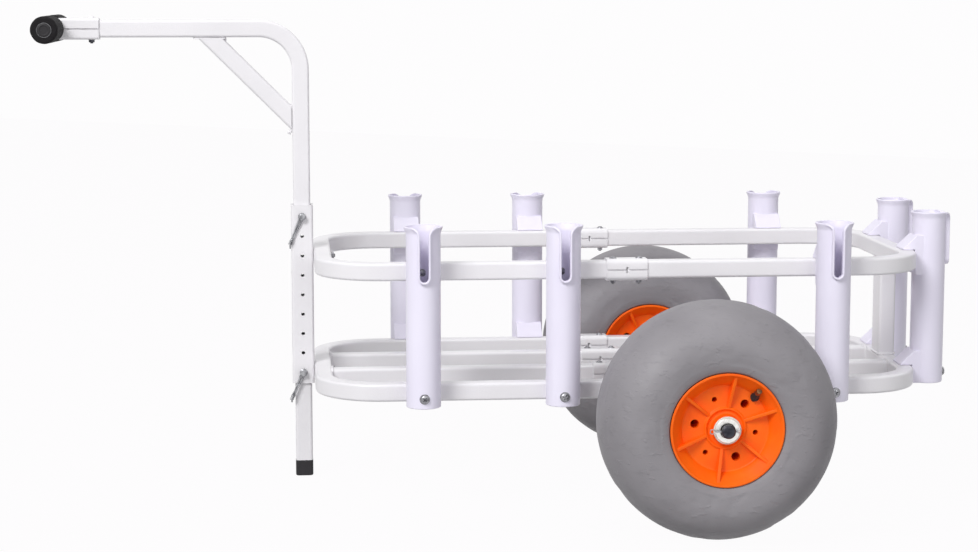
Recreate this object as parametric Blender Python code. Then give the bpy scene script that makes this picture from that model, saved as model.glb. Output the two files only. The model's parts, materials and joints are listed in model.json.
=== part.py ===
"""Two-wheeled beach cart: a knock-down tube frame with eight rod holders, balloon wheels and a pinned mast.

The cart is drawn level, in metres. X runs to the rear, Y to the far side and Z up, with the axle over
X = 0 and the tyres' lowest point at Z = 0. At the end it tips nose-down until the mast's foot stands on
the tyres' floor, and is centred over the origin.
"""

import math

import bmesh
import bpy
from mathutils import Matrix, Vector

# Square steel tube of the frame, the mast and the brace
TUBE_SIDE = 0.025
TUBE_CORNER = 0.004
TUBE_WALL = 0.0015

# Frame plan: two levels, each a rounded loop split across into a front and a rear half
FRAME_FRONT_X = -0.5325
FRAME_REAR_X = 0.320
RAIL_Y = 0.195
FLOOR_RAIL_Y = 0.065
LEVEL_SPACING = 0.171
BEND_RADIUS = 0.085
SPLIT_X = -0.1075
SPLIT_GAP = 0.001

# Splice clamps: a pressed shell above and one below, drawn together by two upright bolts
SPLICE_LENGTH = 0.058
SPLICE_WALL = 0.0025
SPLICE_SLIT = 0.002
NOTCH_WIDTH = 0.005
NOTCH_HEIGHT = 0.005

# Rod holders: slotted tubes with a flared mouth and a saddle at each rail level
HOLDER_RADIUS = 0.02415
HOLDER_WALL = 0.003
HOLDER_ABOVE_RAIL = 0.0677
HOLDER_BELOW_RAIL = 0.0143
HOLDER_MOUTH_FLARE = 0.003
HOLDER_MOUTH_HEIGHT = 0.009
HOLDER_STANDOFF = 0.002
SLOT_WIDTH = 0.012
SLOT_DEPTH = 0.0755
SLOT_FUNNEL = 0.0125
BEAD_WIDTH = 0.0032
BEAD_STANDOUT = 0.0048
SADDLE_WIDTH = 0.040
SADDLE_REACH = 0.018
SADDLE_LIP = 0.002
SADDLE_RISE = 0.021
SADDLE_DROP = 0.012
SIDE_HOLDER_X = (-0.3965, -0.201, 0.182)
REAR_HOLDER_Y = 0.097
SCREW_HEAD_RADIUS = 0.0068
SCREW_HEAD_HEIGHT = 0.0042

# Rear post between the two rear cross members
POST_DEPTH = 0.042

# Mast sleeve in front of the frame
SLEEVE_SIDE = 0.0325
SLEEVE_WALL = 0.003
SLEEVE_CORNER = 0.004
SLEEVE_BELOW_FRAME = 0.0055
SLEEVE_ABOVE_FRAME = 0.064
PIN_HOLE_COUNT = 9
PIN_HOLE_PITCH = 0.029

# Mast: foot, leg, bend and arm in one tube, with a diagonal brace
MAST_LEG_BELOW_SLEEVE = 0.1175
MAST_ABOVE_SLEEVE = 0.2582
MAST_BEND_RADIUS = 0.060
FOOT_HEIGHT = 0.023
FOOT_SIDE = 0.0258
FOOT_STEM = 0.016
BRACE_DROP = 0.131
BRACE_TAB_LENGTH = 0.042
BRACE_TAB_WIDTH = 0.020
BRACE_TAB_THICKNESS = 0.0022

# Grip bar and its clamp
ARM_REACH = 0.35825
GRIP_BAR_RADIUS = 0.011
GRIP_BAR_LENGTH = 0.210
GRIP_FOAM_RADIUS = 0.0199
GRIP_END_INSET = 0.0015
CLAMP_WALL = 0.0026
CLAMP_LENGTH = 0.0688
CLAMP_SLIT = 0.002
ARM_TO_BAR = 0.002

# Pins that lock the mast, and their wire keepers
PIN_RADIUS = 0.0025
PIN_HEAD_RADIUS = 0.0055
PIN_HEAD_THICKNESS = 0.003
PIN_NECK = 0.0048
PIN_TAIL = 0.0045
KEEPER_WIRE = 0.0012
KEEPER_EYE_RADIUS = 0.0045
KEEPER_REACH = 0.0435
KEEPER_CROSS = 0.030
KEEPER_TAIL = 0.011

# Axle under the frame, with its saddles, spacers, washers and end pins
AXLE_RADIUS = 0.0095
AXLE_TAIL = 0.0095
AXLE_PIN_RADIUS = 0.0015
AXLE_PIN_INSET = 0.0055
AXLE_PIN_LONG = 0.026
AXLE_PIN_SHORT = 0.017
SADDLE_STRAP = 0.003
STRAP_EAR = 0.022
SPACER_RADIUS = 0.0125
WASHER_RADIUS = 0.01875
WASHER_THICKNESS = 0.002

# Wheels
WHEEL_Y = 0.320
TYRE_RADIUS = 0.1645
TYRE_HALF_WIDTH = 0.088
TYRE_WALL = 0.0045
TYRE_WIDEST_RADIUS = 0.109
RIM_LIP_RADIUS = 0.0778
RIM_HALF_WIDTH = 0.0829
RIM_WALL = 0.004
RIM_BARREL_ABOVE_DISC = 0.0085
DISC_RADIUS = 0.0575
DISC_OFFSET = 0.063
HUB_RING_RADIUS = 0.027
HUB_RING_WIDTH = 0.0035
HUB_RING_HEIGHT = 0.003
HUB_RADIUS = 0.019
HUB_HALF_WIDTH = 0.078
BUSH_RADIUS = 0.014
BUSH_FLANGE = 0.0015
RIM_HOLE_CIRCLE = 0.042
RIM_LARGE_HOLE = 0.006
RIM_SMALL_HOLE = 0.0036
RIM_RIB_COUNT = 6
RIM_RIB_WIDTH = 0.005
RIM_RIB_ANGLE = 21.0
VALVE_ANGLE = 46.6
VALVE_CIRCLE = 0.0566
VALVE_LEAN_ANGLE = 75.0
VALVE_TILT = 36.0
VALVE_RADIUS = 0.004
VALVE_LENGTH = 0.022
VALVE_SEAT_DEPTH = 0.004

# Fits
TOUCH = 0.0003
AXLE_FIT = 0.0001
PIN_FIT = 0.00022

# Facets on round forms
TYRE_STEPS = 32
RIM_STEPS = 24
HOLDER_STEPS = 16
GRIP_STEPS = 16
AXLE_STEPS = 32
SHAFT_STEPS = 16
HOLE_STEPS = 8
BEND_STEPS = 4

# Heights and places that follow from the sizes above
HALF_TUBE = TUBE_SIDE / 2
AXLE_Z = TYRE_RADIUS
LOWER_Z = AXLE_Z + AXLE_RADIUS + TOUCH + HALF_TUBE
UPPER_Z = LOWER_Z + LEVEL_SPACING
MAST_X = FRAME_FRONT_X - HALF_TUBE - TOUCH - SLEEVE_SIDE / 2
SLEEVE_BOTTOM = LOWER_Z - HALF_TUBE - SLEEVE_BELOW_FRAME
SLEEVE_TOP = UPPER_Z + HALF_TUBE + SLEEVE_ABOVE_FRAME
PIN_ROW = (PIN_HOLE_COUNT - 1) * PIN_HOLE_PITCH
LOWER_PIN_Z = (SLEEVE_BOTTOM + SLEEVE_TOP - PIN_ROW) / 2
UPPER_PIN_Z = LOWER_PIN_Z + PIN_ROW
MAST_BOTTOM = SLEEVE_BOTTOM - MAST_LEG_BELOW_SLEEVE
MAST_ARM_Z = SLEEVE_TOP + MAST_ABOVE_SLEEVE
FOOT_BOTTOM = MAST_BOTTOM - TOUCH - FOOT_HEIGHT
GRIP_BAR_X = MAST_X - ARM_REACH
ARM_END_X = GRIP_BAR_X + GRIP_BAR_RADIUS + ARM_TO_BAR
CLAMP_REAR_X = GRIP_BAR_X + CLAMP_LENGTH
HOLDER_OFFSET = HALF_TUBE + HOLDER_STANDOFF + HOLDER_RADIUS
HOLDER_TOP_Z = UPPER_Z + HOLDER_ABOVE_RAIL
HOLDER_BOTTOM_Z = LOWER_Z - HOLDER_BELOW_RAIL
PIN_Y = -SLEEVE_SIDE / 2 - PIN_NECK / 2
HUB_END_Y = WHEEL_Y + HUB_HALF_WIDTH + TOUCH + BUSH_FLANGE
WASHER_END_Y = HUB_END_Y + TOUCH + WASHER_THICKNESS


def material(name, colour, roughness, metallic=0.0):
    made = bpy.data.materials.new(name)
    made.use_nodes = True
    shader = made.node_tree.nodes["Principled BSDF"]
    shader.inputs["Base Color"].default_value = (*colour, 1.0)
    shader.inputs["Roughness"].default_value = roughness
    shader.inputs["Metallic"].default_value = metallic
    return made


def body(name, place=(0, 0, 0), parent=None):
    """An empty on a joint's axis, which carries the pieces that move together."""
    empty = bpy.data.objects.new(name, None)
    bpy.context.scene.collection.objects.link(empty)
    empty.empty_display_size = 0.05
    empty["place"] = Vector(place)
    empty.location = Vector(place) - (Vector(parent["place"]) if parent else Vector())
    empty.parent = parent
    return empty


def helper(shape):
    """A mesh object from a bmesh, used up by a Boolean."""
    mesh = bpy.data.meshes.new("helper")
    bmesh.ops.recalc_face_normals(shape, faces=shape.faces)
    shape.to_mesh(mesh)
    shape.free()
    made = bpy.data.objects.new("helper", mesh)
    bpy.context.scene.collection.objects.link(made)
    made.hide_render = True
    made.display_type = "WIRE"
    return made


def combine(shape, others, operation):
    """Cuts or joins each of the other shapes in turn, and returns the result as a bmesh."""
    base = helper(shape)
    for other in others:
        tool = helper(other)
        modifier = base.modifiers.new("combine", "BOOLEAN")
        modifier.operation = operation
        modifier.solver = "EXACT"
        modifier.object = tool
        graph = bpy.context.evaluated_depsgraph_get()
        mesh = bpy.data.meshes.new_from_object(base.evaluated_get(graph))
        base.modifiers.clear()
        base.data = mesh
        bpy.data.objects.remove(tool)
    result = bmesh.new()
    result.from_mesh(base.data)
    bpy.data.objects.remove(base)
    return result


def cut(shape, others):
    return combine(shape, others, "DIFFERENCE")


def join(shape, others):
    return combine(shape, others, "UNION")


def piece(name, shape, owner, finish, sharp=35.0):
    """Turns a shape drawn in the cart's own place into a named object on its body's empty."""
    bmesh.ops.remove_doubles(shape, verts=shape.verts, dist=1e-6)
    shape.transform(Matrix.Translation(-Vector(owner["place"])))
    bmesh.ops.recalc_face_normals(shape, faces=shape.faces)
    mesh = bpy.data.meshes.new(name)
    shape.to_mesh(mesh)
    shape.free()
    mesh.shade_smooth()
    mesh.set_sharp_from_angle(angle=math.radians(sharp))
    mesh.materials.append(finish)
    made = bpy.data.objects.new(name, mesh)
    bpy.context.scene.collection.objects.link(made)
    made.parent = owner
    return made


def rounded_square(side, corner, steps=1):
    """Points round a square with rounded corners, in order."""
    half = side / 2 - corner
    points = []
    for index, (x, y) in enumerate(((half, half), (-half, half), (-half, -half), (half, -half))):
        for step in range(steps + 1):
            turn = math.radians(90 * (index + step / steps))
            points.append((x + corner * math.cos(turn), y + corner * math.sin(turn)))
    return points


def ring_of(radius, steps, phase=0.0):
    turns = [2 * math.pi * (step + phase) / steps for step in range(steps)]
    return [(radius * math.cos(turn), radius * math.sin(turn)) for turn in turns]


def skin(loops, closed=False):
    """Faces over a row of point loops, capped at both ends unless the row closes on itself."""
    shape = bmesh.new()
    rows = [[shape.verts.new(point) for point in loop] for loop in loops]
    count = len(rows[0])
    pairs = list(zip(rows, rows[1:]))
    if closed:
        pairs.append((rows[-1], rows[0]))
    for first, second in pairs:
        for index in range(count):
            after = (index + 1) % count
            shape.faces.new((first[index], first[after], second[after], second[index]))
    if not closed:
        shape.faces.new(rows[0])
        shape.faces.new(rows[-1])
    return shape


def pipe(frames, outer, inner):
    """A hollow bar: both outlines follow the frames, joined by a flat ring at each end."""
    out_loops = [[frame @ Vector((a, b, 0)) for a, b in outer] for frame in frames]
    in_loops = [[frame @ Vector((a, b, 0)) for a, b in inner] for frame in frames]
    return skin(out_loops + in_loops[::-1], closed=True)


def frame_at(place, ahead, side):
    """A frame whose Z axis looks ahead and whose X axis looks to the side."""
    z = Vector(ahead).normalized()
    x = (Vector(side) - z * z.dot(Vector(side))).normalized()
    y = z.cross(x)
    return Matrix.Translation(Vector(place)) @ Matrix((x, y, z)).transposed().to_4x4()


def square_pipe(frames, side=TUBE_SIDE, corner=TUBE_CORNER, wall=TUBE_WALL):
    inner_corner = max(corner - wall, corner * 0.25)
    return pipe(frames, rounded_square(side, corner), rounded_square(side - 2 * wall, inner_corner))


def prism(points, low, high, axis="Z"):
    """An outline in the two other axes, carried along one axis from low to high."""
    def placed(a, b, c):
        return {"X": (c, a, b), "Y": (a, c, b), "Z": (a, b, c)}[axis]
    return skin([[placed(a, b, level) for a, b in points] for level in (low, high)])


def box(low, high):
    outline = ((low[0], low[1]), (high[0], low[1]), (high[0], high[1]), (low[0], high[1]))
    return prism(outline, low[2], high[2])


def rod(place, axis, low, high, radius, steps=HOLE_STEPS):
    """A round bar beside a point, from low to high along an axis."""
    shape = prism(ring_of(radius, steps, 0.5), low, high, axis)
    shape.transform(Matrix.Translation(Vector(place)))
    return shape


def turned(profile, steps, axis="Y", phase=0.0, loop=False):
    """A turned solid. The profile gives (radius, height) points, and a loop makes a ring."""
    def placed(radius, height, turn):
        a, b = radius * math.cos(turn), radius * math.sin(turn)
        return {"X": (height, a, b), "Y": (a, height, b), "Z": (a, b, height)}[axis]
    turns = [2 * math.pi * (step + phase) / steps for step in range(steps)]
    loops = [[placed(radius, height, turn) for turn in turns] for radius, height in profile]
    return skin(loops, closed=loop)


def moved(shape, place):
    shape.transform(Matrix.Translation(Vector(place)))
    return shape


def half_loop_frames(cross_x, split_x, z):
    """Stations along a half loop: down one rail, round the cross member and back along the other."""
    forward = 1 if cross_x > split_x else -1
    bend_x = cross_x - forward * BEND_RADIUS
    bend_y = RAIL_Y - BEND_RADIUS
    stations = [((split_x, -RAIL_Y, z), (forward, 0, 0))]
    for side in (-1, 1):
        for step in range(BEND_STEPS + 1):
            turn = math.radians(90 * step / BEND_STEPS)
            along, across = (math.sin(turn), math.cos(turn)) if side < 0 else (math.cos(turn), math.sin(turn))
            place = (bend_x + forward * BEND_RADIUS * along, side * (bend_y + BEND_RADIUS * across), z)
            heading = (forward * across, along, 0) if side < 0 else (-forward * across, along, 0)
            stations.append((place, heading))
    stations.append(((split_x, RAIL_Y, z), (-forward, 0, 0)))
    return [frame_at(place, heading, (0, 0, 1)) for place, heading in stations]


def straight_pipe(start, end, side_axis=(0, 0, 1), **sizes):
    heading = Vector(end) - Vector(start)
    return square_pipe([frame_at(start, heading, side_axis), frame_at(end, heading, side_axis)], **sizes)


def holder_places():
    """Name, place on the rail's side and outward direction of each rod holder."""
    places = []
    for side, sign in (("near", -1), ("far", 1)):
        for label, x in zip(("front", "middle", "rear"), SIDE_HOLDER_X):
            places.append((f"rod_holder_{side}_{label}", (x, sign * (RAIL_Y + HOLDER_OFFSET)), (0, sign)))
    for side, sign in (("near", -1), ("far", 1)):
        place = (FRAME_REAR_X + HOLDER_OFFSET, sign * REAR_HOLDER_Y)
        places.append((f"rod_holder_rear_{side}", place, (1, 0)))
    return places


def frame_half(name, cross_x, z, rails, root, finish):
    """One half of a level: the bent rail and any floor rails welded to its cross member."""
    forward = 1 if cross_x > SPLIT_X else -1
    split_x = SPLIT_X + forward * SPLIT_GAP / 2
    shape = square_pipe(half_loop_frames(cross_x, split_x, z))
    weld_x = cross_x - forward * (HALF_TUBE - TUBE_WALL / 2)
    shape = join(shape, [straight_pipe((weld_x, y, z), (split_x, y, z)) for y in rails if abs(y) < RAIL_Y])
    return piece(name, shape, root, finish)


def channel(inner_half, corner, wall, slit):
    """Half a clamp's cross section: a rounded channel over the upper half of a square bar."""
    outer_half = inner_half + wall
    outer_corner = corner + wall
    def arch(half, radius):
        points = [(half, slit / 2)]
        for sign, start in ((1, 0), (-1, 90)):
            for step in range(2):
                turn = math.radians(start + 90 * step)
                middle = (sign * (half - radius), half - radius)
                points.append((middle[0] + radius * math.cos(turn), middle[1] + radius * math.sin(turn)))
        return points + [(-half, slit / 2)]
    return arch(outer_half, outer_corner) + arch(inner_half, corner)[::-1]


def splice(label, y, z, root, finish):
    """A clamp's two shells, each with a notch in its edges where the tube ends meet."""
    inner_half = HALF_TUBE + TOUCH
    outline = channel(inner_half, TUBE_CORNER + TOUCH, SPLICE_WALL, SPLICE_SLIT)
    low_x, high_x = SPLIT_X - SPLICE_LENGTH / 2, SPLIT_X + SPLICE_LENGTH / 2
    reach = (inner_half + SPLICE_WALL) * 1.2
    for place, sign in (("top", 1), ("bottom", -1)):
        shell = prism([(y + a, z + sign * b) for a, b in outline], low_x, high_x, "X")
        heights = sorted((z, z + sign * (SPLICE_SLIT / 2 + NOTCH_HEIGHT)))
        notch = box(
            (SPLIT_X - NOTCH_WIDTH / 2, y - reach, heights[0]),
            (SPLIT_X + NOTCH_WIDTH / 2, y + reach, heights[1]),
        )
        piece(f"splice_{place}_{label}", cut(shell, [notch]), root, finish)


def holder_shape():
    """A rod holder drawn about its own axis, slot towards +X and rail towards -X."""
    mouth = HOLDER_RADIUS + HOLDER_MOUTH_FLARE
    bore = HOLDER_RADIUS - HOLDER_WALL
    flare_z = HOLDER_TOP_Z - HOLDER_MOUTH_HEIGHT
    lip_z = HOLDER_TOP_Z - HOLDER_WALL
    tube = turned(
        [(mouth, HOLDER_TOP_Z), (mouth, lip_z), (HOLDER_RADIUS, flare_z), (HOLDER_RADIUS, HOLDER_BOTTOM_Z)],
        HOLDER_STEPS, "Z", 0.5,
    )
    slot_half = SLOT_WIDTH / 2
    slot_z = HOLDER_TOP_Z - SLOT_DEPTH + slot_half
    bead_half = slot_half + BEAD_WIDTH

    def slot_outline(half, rise):
        """A round end below, and a funnel above that opens by the same turn on both sides."""
        turns = [math.radians(180 + 180 * step / 6) for step in range(7)]
        round_end = [(half * math.cos(turn), slot_z + half * math.sin(turn)) for turn in turns]
        bend = SLOT_FUNNEL + slot_half - half
        middle = (slot_half + SLOT_FUNNEL, HOLDER_TOP_Z - SLOT_FUNNEL)
        turns = [math.radians(180 - 90 * step / 3) for step in range(4)]
        funnel = [(middle[0] + bend * math.cos(turn), middle[1] + bend * math.sin(turn)) for turn in turns]
        if rise:
            funnel.append((middle[0], HOLDER_TOP_Z + rise))
        return round_end + funnel + [(-x, z) for x, z in funnel[::-1]]

    bead = prism(slot_outline(bead_half, 0), 0, HOLDER_RADIUS + BEAD_STANDOUT, "X")
    reach = (HOLDER_RADIUS + BEAD_STANDOUT) / math.cos(math.pi / HOLDER_STEPS)
    around = turned([(reach, HOLDER_BOTTOM_Z), (reach, HOLDER_TOP_Z)], HOLDER_STEPS, "Z")
    bead = combine(bead, [around], "INTERSECT")
    head_seat = HOLDER_RADIUS - HOLDER_WALL / 2
    head_top = HOLDER_RADIUS + SCREW_HEAD_HEIGHT
    screw_head = turned(
        [(SCREW_HEAD_RADIUS, head_seat), (SCREW_HEAD_RADIUS, head_top - SCREW_HEAD_HEIGHT * 0.6),
         (SCREW_HEAD_RADIUS * 0.6, head_top)],
        12, "X",
    )
    screw_head = moved(screw_head, (0, 0, LOWER_Z))
    saddles = []
    face = -HOLDER_RADIUS - HOLDER_STANDOFF + TOUCH
    for z in (LOWER_Z, UPPER_Z):
        top = z + HALF_TUBE + TOUCH
        outline = [
            (-HOLDER_RADIUS / 2, top + SADDLE_RISE),
            (-HOLDER_RADIUS * 0.97, top + SADDLE_RISE),
            (face - SADDLE_REACH, top + SADDLE_LIP),
            (face - SADDLE_REACH, top),
            (face, top),
            (face, z - HALF_TUBE),
            (-HOLDER_RADIUS * 0.97, max(z - HALF_TUBE - SADDLE_DROP, HOLDER_BOTTOM_Z)),
            (-HOLDER_RADIUS / 2, max(z - HALF_TUBE - SADDLE_DROP, HOLDER_BOTTOM_Z)),
        ]
        if outline[-1][1] >= z - HALF_TUBE - TOUCH:
            outline[5:7] = [(face, outline[-1][1])]
        saddles.append(prism(outline, -SADDLE_WIDTH / 2, SADDLE_WIDTH / 2, "Y"))
    shape = join(tube, [bead, screw_head, *saddles])
    hollow = turned(
        [
            (mouth, HOLDER_TOP_Z + HOLDER_WALL),
            (bore, flare_z - HOLDER_WALL * 0.5),
            (bore, HOLDER_BOTTOM_Z - HOLDER_WALL),
        ],
        HOLDER_STEPS, "Z", 0.5,
    )
    slot = prism(slot_outline(slot_half, HOLDER_WALL), 0, mouth * 2, "X")
    return cut(shape, [hollow, slot])


def rod_holders(root, finish):
    drawn = holder_shape()
    for name, (x, y), (out_x, out_y) in holder_places():
        shape = drawn.copy()
        shape.transform(Matrix.Rotation(math.atan2(out_y, out_x), 4, "Z"))
        piece(name, moved(shape, (x, y, 0)), root, finish)
    drawn.free()


def frame(root, finish):
    for level, z, rails in (
        ("upper", UPPER_Z, (-RAIL_Y, RAIL_Y)),
        ("lower", LOWER_Z, (-RAIL_Y, -FLOOR_RAIL_Y, FLOOR_RAIL_Y, RAIL_Y)),
    ):
        frame_half(f"{level}_front_frame", FRAME_FRONT_X, z, rails, root, finish)
        frame_half(f"{level}_rear_frame", FRAME_REAR_X, z, rails, root, finish)
        for y in rails:
            side = "near" if y < 0 else "far"
            place = level if abs(y) == RAIL_Y else "floor"
            splice(f"{side}_{place}", y, z, root, finish)
    half_depth = POST_DEPTH / 2
    outline = [(FRAME_REAR_X + a, b * POST_DEPTH / TUBE_SIDE) for a, b in rounded_square(TUBE_SIDE, TUBE_CORNER)]
    inner = [
        (FRAME_REAR_X + a, b * (half_depth - TUBE_WALL) / (HALF_TUBE - TUBE_WALL))
        for a, b in rounded_square(TUBE_SIDE - 2 * TUBE_WALL, TUBE_CORNER - TUBE_WALL)
    ]
    levels = [LOWER_Z + HALF_TUBE + TOUCH, UPPER_Z - HALF_TUBE - TOUCH]
    post = pipe([Matrix.Translation((0, 0, level)) for level in levels], outline, inner)
    piece("rear_post", post, root, finish)


def pin_heights():
    return [LOWER_PIN_Z + index * PIN_HOLE_PITCH for index in range(PIN_HOLE_COUNT)]


def pin_hole(z, reach):
    radius = (PIN_RADIUS + PIN_FIT) / math.cos(math.pi / SHAFT_STEPS)
    return rod((MAST_X, 0, z), "Y", -reach, reach, radius, SHAFT_STEPS // 2)


def sleeve(root, finish):
    ends = [(MAST_X, 0, SLEEVE_BOTTOM), (MAST_X, 0, SLEEVE_TOP)]
    shape = straight_pipe(*ends, (1, 0, 0), side=SLEEVE_SIDE, corner=SLEEVE_CORNER, wall=SLEEVE_WALL)
    holes = [pin_hole(z, SLEEVE_SIDE) for z in pin_heights()]
    piece("mast_sleeve", cut(shape, holes), root, finish)


def mast_frames():
    """Stations up the leg, round the bend and along the arm."""
    stations = [((MAST_X, 0, MAST_BOTTOM), (0, 0, 1))]
    for step in range(BEND_STEPS + 2):
        turn = math.radians(90 * step / (BEND_STEPS + 1))
        place = (
            MAST_X - MAST_BEND_RADIUS * (1 - math.cos(turn)),
            0,
            MAST_ARM_Z - MAST_BEND_RADIUS * (1 - math.sin(turn)),
        )
        stations.append((place, (-math.sin(turn), 0, math.cos(turn))))
    stations.append(((ARM_END_X, 0, MAST_ARM_Z), (-1, 0, 0)))
    return [frame_at(place, heading, (0, 1, 0)) for place, heading in stations]


def brace_shape():
    """The diagonal tube, mitred to the arm and to the mast, with a bolted tab at each end."""
    under = MAST_ARM_Z - HALF_TUBE - TOUCH
    front = MAST_X - HALF_TUBE - TOUCH
    low = Vector((front, 0, MAST_ARM_Z - BRACE_DROP))
    along = Vector((-1, 0, 1)).normalized()
    across = Vector((1, 0, 1)).normalized()
    inset = BRACE_TAB_THICKNESS / 2

    def end_loop(outline, level):
        points = []
        for a, b in outline:
            point = low + across * a + Vector((0, b, 0))
            if level:
                point += along * ((under - inset - point.z) / along.z)
            else:
                point += along * ((front - inset - point.x) / along.x)
            points.append(point)
        return points

    outer = rounded_square(TUBE_SIDE, TUBE_CORNER)
    inner = rounded_square(TUBE_SIDE - 2 * TUBE_WALL, TUBE_CORNER - TUBE_WALL)
    loops = [end_loop(outer, 0), end_loop(outer, 1), end_loop(inner, 1), end_loop(inner, 0)]
    shape = skin(loops, closed=True)
    half_width = BRACE_TAB_WIDTH / 2
    top_x = low.x - (under - low.z)
    tab_half = BRACE_TAB_LENGTH / 2
    upper_tab = box(
        (top_x - tab_half, -half_width, under - BRACE_TAB_THICKNESS), (top_x + tab_half, half_width, under)
    )
    lower_tab = box(
        (front - BRACE_TAB_THICKNESS, -half_width, low.z - tab_half), (front, half_width, low.z + tab_half)
    )
    return join(shape, [upper_tab, lower_tab])


def clamp_half(sign):
    """Half of the clamp: a channel round the arm's end, running into a saddle round the grip bar."""
    inner_half = HALF_TUBE + TOUCH
    outer_half = inner_half + CLAMP_WALL
    nose = outer_half * 0.998
    outline = [(CLAMP_REAR_X, CLAMP_SLIT / 2), (CLAMP_REAR_X, outer_half * 1.2), (GRIP_BAR_X, outer_half * 1.2)]
    start = math.asin(CLAMP_SLIT / 2 / nose)
    for step in range(7):
        turn = math.radians(90) + (math.radians(90) - start) * step / 6
        outline.append((GRIP_BAR_X + nose * math.cos(turn), nose * math.sin(turn)))
    shape = prism([(x, MAST_ARM_Z + sign * z) for x, z in outline], -outer_half * 1.2, outer_half * 1.2, "Y")
    around = rounded_square(2 * outer_half, TUBE_CORNER, 2)
    bar_frames = [frame_at((x, 0, MAST_ARM_Z), (1, 0, 0), (0, 1, 0)) for x in (GRIP_BAR_X - 2 * outer_half, CLAMP_REAR_X + outer_half)]
    outside = skin([[place @ Vector((a, b, 0)) for a, b in around] for place in bar_frames])
    shape = combine(shape, [outside], "INTERSECT")
    bore = straight_pipe_core((CLAMP_REAR_X + CLAMP_WALL, 0, MAST_ARM_Z), (ARM_END_X - TOUCH, 0, MAST_ARM_Z))
    bar = rod((GRIP_BAR_X, 0, MAST_ARM_Z), "Y", -outer_half * 1.2, outer_half * 1.2,
              (GRIP_BAR_RADIUS + TOUCH) / math.cos(math.pi / GRIP_STEPS), GRIP_STEPS)
    return cut(shape, [bore, bar])


def straight_pipe_core(start, end):
    """The space that a square tube fills, with the touching gap round it."""
    heading = Vector(end) - Vector(start)
    outline = rounded_square(TUBE_SIDE + 2 * TOUCH, TUBE_CORNER + TOUCH)
    frames = [frame_at(start, heading, (0, 1, 0)), frame_at(end, heading, (0, 1, 0))]
    return skin([[frame @ Vector((a, b, 0)) for a, b in outline] for frame in frames])


def mast(carrier, finish, rubber, foam, bar_finish):
    shape = square_pipe(mast_frames())
    holes = [pin_hole(z, TUBE_SIDE) for z in pin_heights()]
    piece("mast_tube", cut(shape, holes), carrier, finish)
    piece("mast_brace", brace_shape(), carrier, finish)

    head = rounded_square(FOOT_SIDE, TUBE_CORNER)
    stem = rounded_square(TUBE_SIDE - 2 * TUBE_WALL - 2 * TOUCH, TUBE_CORNER - TUBE_WALL)
    levels = [(head, FOOT_BOTTOM), (head, MAST_BOTTOM - TOUCH)]
    levels += [(stem, MAST_BOTTOM - TOUCH), (stem, MAST_BOTTOM + FOOT_STEM)]
    foot = skin([[(MAST_X + a, b, z) for a, b in outline] for outline, z in levels])
    piece("mast_foot", foot, carrier, rubber)

    piece("grip_clamp_top", clamp_half(1), carrier, finish)
    piece("grip_clamp_bottom", clamp_half(-1), carrier, finish)

    half_bar = GRIP_BAR_LENGTH / 2
    axis = (GRIP_BAR_X, 0, MAST_ARM_Z)
    bar = moved(turned([(GRIP_BAR_RADIUS, -half_bar), (GRIP_BAR_RADIUS, half_bar)], GRIP_STEPS, "Y", 0.5), axis)
    piece("grip_bar", bar, carrier, bar_finish)
    bore = (GRIP_BAR_RADIUS + TOUCH) / math.cos(math.pi / GRIP_STEPS)
    for label, sign in (("near", -1), ("far", 1)):
        start = sign * (HALF_TUBE + TOUCH + CLAMP_WALL + TOUCH)
        end = sign * (half_bar - GRIP_END_INSET)
        round_off = GRIP_FOAM_RADIUS * 0.12 * sign
        foam_radius = GRIP_FOAM_RADIUS / math.cos(math.pi / GRIP_STEPS)
        profile = [
            (bore, start),
            (foam_radius * 0.95, start),
            (foam_radius, start + round_off),
            (foam_radius, end - 2 * round_off),
            (foam_radius * 0.9, end),
            (bore, end),
        ]
        piece(f"grip_foam_{label}", moved(turned(profile, GRIP_STEPS, "Y", 0.5, loop=True), axis), carrier, foam)


def keeper_rest_angle():
    """How far the keeper hangs from upright when its cross wire leans on the sleeve's side."""
    side = SLEEVE_SIDE / 2 + KEEPER_WIRE + TOUCH
    return math.asin(side / KEEPER_REACH)


def keeper_shape(z):
    """A wire that circles the pin's neck, runs down to a corner and crosses beside the sleeve."""
    lean = keeper_rest_angle()
    down = Vector((-math.sin(lean), 0, -math.cos(lean)))
    middle = Vector((MAST_X, PIN_Y, z))
    steps = 10
    points = []
    for step in range(steps + 1):
        turn = math.radians(-60 + 330 * step / steps)
        spin = Matrix.Rotation(turn, 3, "Y") @ down
        points.append(middle + spin * KEEPER_EYE_RADIUS)
    corner = middle + down * KEEPER_REACH
    points.append(middle + down * KEEPER_REACH * 0.45 + Vector((0, 0, 0)))
    points.append(corner + Vector((0, 0, 0)) - down * 0.003)
    points.append(corner + Vector((0, 0.003, 0)))
    points.append(corner + Vector((0, KEEPER_CROSS, 0)))
    points.append(corner + Vector((0, KEEPER_CROSS + 0.002, -0.003)))
    points.append(corner + Vector((0, KEEPER_CROSS + 0.002, -KEEPER_TAIL)))
    return wire(points, KEEPER_WIRE, 6)


def wire(points, radius, sides):
    """A round wire through the points, with its outline turned as little as it can be."""
    loops = []
    side = Vector((0, 1, 0))
    outline = ring_of(radius / math.cos(math.pi / sides), sides)
    for index, point in enumerate(points):
        before = points[max(index - 1, 0)]
        after = points[min(index + 1, len(points) - 1)]
        ahead = (after - before).normalized()
        side = side - ahead * ahead.dot(side)
        if side.length < 0.2:
            side = ahead.orthogonal()
        frame = frame_at(point, ahead, side)
        side = frame.to_3x3() @ Vector((1, 0, 0))
        loops.append([frame @ Vector((a, b, 0)) for a, b in outline])
    return skin(loops)


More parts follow.
